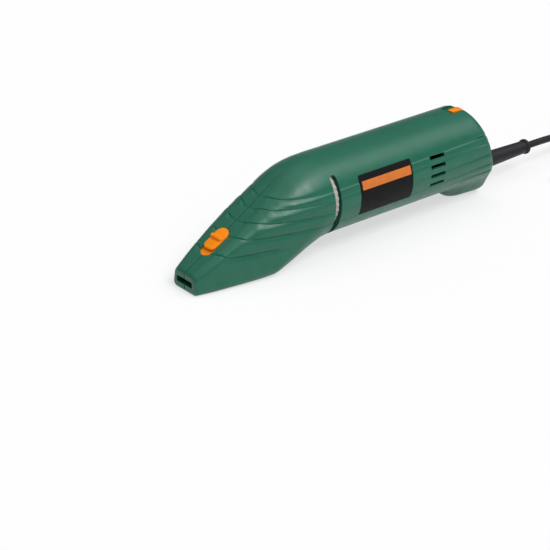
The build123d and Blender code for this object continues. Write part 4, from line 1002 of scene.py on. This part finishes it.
def addTongue(bm, low, high, frontCorner, rearCorner):  # a block with a rounding for each end
    before = set(bm.verts)
    addBlock(bm, low, high)
    height = high[2] - low[2]
    for x, corner in ((low[0], frontCorner), (high[0], rearCorner)):
        edges = [e for e in bm.edges if e.verts[0] not in before]
        edges = [e for e in edges if all(abs(v.co.x - x) < tiny for v in e.verts)]
        rims = [e for e in edges if abs(e.verts[0].co.z - e.verts[1].co.z) > 0.5 * height]
        roundOff(bm, rims, corner, lockSet["cornerSegments"])
    return freshVerts(bm, before)


def makeLock():
    bm = bmesh.new()
    addBlock(bm, *lockSet["plate"], lockSet["plateCorner"])
    addTongue(bm, *lockSet["neck"], lockSet["neckCorner"], lockSet["neckCorner"])
    button = addTongue(bm, *lockSet["button"], lockSet["frontCorner"], lockSet["rearCorner"])
    bm.normal_update()
    softenTop(bm, button, lockSet["edge"])
    bar = addBlock(bm, *lockSet["bar"], lockSet["barCorner"])
    bm.normal_update()
    softenTop(bm, bar, lockSet["barEdge"], segments=4)
    bmesh.ops.transform(bm, matrix=slopePlace(), verts=bm.verts)
    return makePiece("blade_lock_button", finished(bm), ["control"], smoothAngle=35)


settle(makeLock(), "control", "release_slider", body="blade_lock")
print("blade lock made")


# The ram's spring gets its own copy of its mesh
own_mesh(nodes["ram_spring"])


# Power switch: a low slide on a stem
switchSet = {
    "slide": ((113.1, -2.9, 70.6), (123.5, 2.9, 71.75)),
    "corner": 1.2,
    "edge": 0.35,
    "stem": ((118.05, -1.8, 62.2), (122.55, 1.8, 70.8)),
}


def makeSwitch():
    bm = bmesh.new()
    slide = addBlock(bm, *switchSet["slide"], switchSet["corner"])
    bm.normal_update()
    softenTop(bm, slide, switchSet["edge"])
    addBlock(bm, *switchSet["stem"])
    return makePiece("power_switch_slide", finished(bm), ["control"], smoothAngle=35)


settle(makeSwitch(), "control", "switch_slider", body="switch")
print("switch made")


# Speed dial: a ring with small notches round its rim
dialSet = {
    "centre": (-5.184, 43.102),
    "profile": [(-27.2, 17.4), (-27.2, 23.6), (-26.6, 24.3), (-23.7, 24.3), (-23.1, 23.6), (-23.1, 17.4)],
    "rim": 23.0,
    "notches": 34,
    "notchDepth": 0.55,
    "perNotch": 6,
}


def makeDial():
    bm = bmesh.new()
    addTurned(bm, dialSet["profile"], dialSet["notches"] * dialSet["perNotch"])
    for v in bm.verts:
        r = math.hypot(v.co.y, v.co.z)
        if r > dialSet["rim"]:
            turn = math.atan2(v.co.z, v.co.y) * dialSet["notches"]
            shrink = 1 - dialSet["notchDepth"] * (0.5 - 0.5 * math.cos(turn)) ** 2 / r
            v.co.y *= shrink
            v.co.z *= shrink
    bmesh.ops.translate(bm, vec=(0, *dialSet["centre"]), verts=bm.verts)
    return makePiece("speed_dial_wheel", finished(bm), ["dial"], smoothAngle=35)


settle(makeDial(), "dial", "speed_dial", body="dial")
print("speed dial made")


# Strain relief: a cone with a rounded bead at its end
reliefSet = {
    "height": 19.5,
    "profile": [(130.4, 2.9), (130.4, 8.0), (133.0, 8.0), (133.0, 6.2), (137.4, 6.2), (137.6, 6.9),
                (150.0, 6.6), (197.0, 5.1), (197.3, 5.8), (197.8, 6.1), (199.3, 6.1), (199.8, 5.8),
                (200.0, 5.2), (200.0, 3.3), (199.4, 2.9)],
    "steps": 48,
}


def makeRelief():
    bm = bmesh.new()
    addTurned(bm, reliefSet["profile"], reliefSet["steps"])
    bmesh.ops.translate(bm, vec=(0, 0, reliefSet["height"]), verts=bm.verts)
    return makePiece("strain_relief_sleeve", finished(bm), ["lead"], smoothAngle=40)


settle(makeRelief(), "lead", "strain_relief")
print("strain relief made")


# Plug: a flat moulded body with grip grooves, which thins out to the lead
plugSet = {
    "middle": (-46.4, 9.3),
    "rings": [  # x, half width, half height, how square
        (257.29, 4.2, 4.2, 2.0), (254.8, 4.7, 4.7, 2.0), (251.5, 6.6, 6.0, 2.1), (248.5, 10.4, 7.6, 2.4),
        (245.0, 14.2, 8.6, 2.8), (241.0, 16.4, 9.1, 3.2), (237.0, 17.3, 9.2, 3.4), (232.0, 17.6, 9.2, 3.6),
        (221.4, 17.6, 9.2, 3.6), (220.2, 17.2, 8.8, 3.5), (219.5, 16.6, 8.2, 3.4), (219.29, 15.8, 7.4, 3.4),
    ],
    "grooves": (223.6, 226.2, 228.8, 231.4, 234.0),
    "grooveWidth": 1.5,
    "grooveDepth": 0.5,
    "columns": 72,
    "gap": 0.25,
}


def plugRing(x):
    rings = sorted(plugSet["rings"])
    wide, high, power = [along([(ring[0], ring[k]) for ring in rings], x) for k in (1, 2, 3)]
    near = min(abs(x - groove) for groove in plugSet["grooves"]) / (plugSet["grooveWidth"] / 2)
    cut = plugSet["grooveDepth"] * (0.5 + 0.5 * math.cos(math.pi * min(1.0, near)))
    ring = []
    for k in range(plugSet["columns"] + 1):
        angle = math.tau * k / plugSet["columns"]
        c, s = math.cos(angle), math.sin(angle)
        y = math.copysign(abs(c) ** (2 / power), c) * (wide - cut)
        z = math.copysign(abs(s) ** (2 / power), s) * (high - cut)
        ring.append((x, plugSet["middle"][0] + y, plugSet["middle"][1] + z))
    return ring


def makePlug():
    far, near = plugSet["rings"][0][0], plugSet["rings"][-1][0]
    count = round((far - near) / plugSet["gap"])
    places = {near + (far - near) * k / count for k in range(count + 1)}
    places |= {ring[0] for ring in plugSet["rings"]}
    bm = bmesh.new()
    wrapGrid(bm, [plugRing(x) for x in sorted(places)], closed=True)
    return makePiece("plug_moulding", finished(bm), ["dark_plastic"], smoothAngle=40)


plug = settle(makePlug(), "dark_plastic", "plug_body")
print("plug made")


# Tie round the coil: a flat band with rounded corners and its free end laid over the top
tieSet = {
    "low": (344.95, -13.0, 0.35),
    "high": (367.3, -5.0, 27.95),
    "corner": 3.4,
    "cornerSegments": 8,
    "thick": 0.75,
    "tail": ((347.5, -12.8, 27.9), (361.5, -5.2, 28.75)),
    "tailCorner": 2.4,
    "tailEdge": 0.3,
}


def makeTie():
    bm = bmesh.new()
    addBlock(bm, tieSet["low"], tieSet["high"], tieSet["corner"], axis=1, segments=tieSet["cornerSegments"])
    bm.normal_update()
    ends = [f for f in bm.faces if abs(f.normal.y) > 0.5]
    bmesh.ops.delete(bm, geom=ends, context="FACES_ONLY")
    bmesh.ops.recalc_face_normals(bm, faces=bm.faces)
    bmesh.ops.solidify(bm, geom=bm.faces[:], thickness=tieSet["thick"])
    tail = addBlock(bm, *tieSet["tail"], tieSet["tailCorner"])
    bm.normal_update()
    softenTop(bm, tail, tieSet["tailEdge"], segments=2)
    return makePiece("cord_tie_strap", finished(bm), ["lead"], smoothAngle=35)


tie = settle(makeTie(), "lead", "cord_tie")
print("tie made")
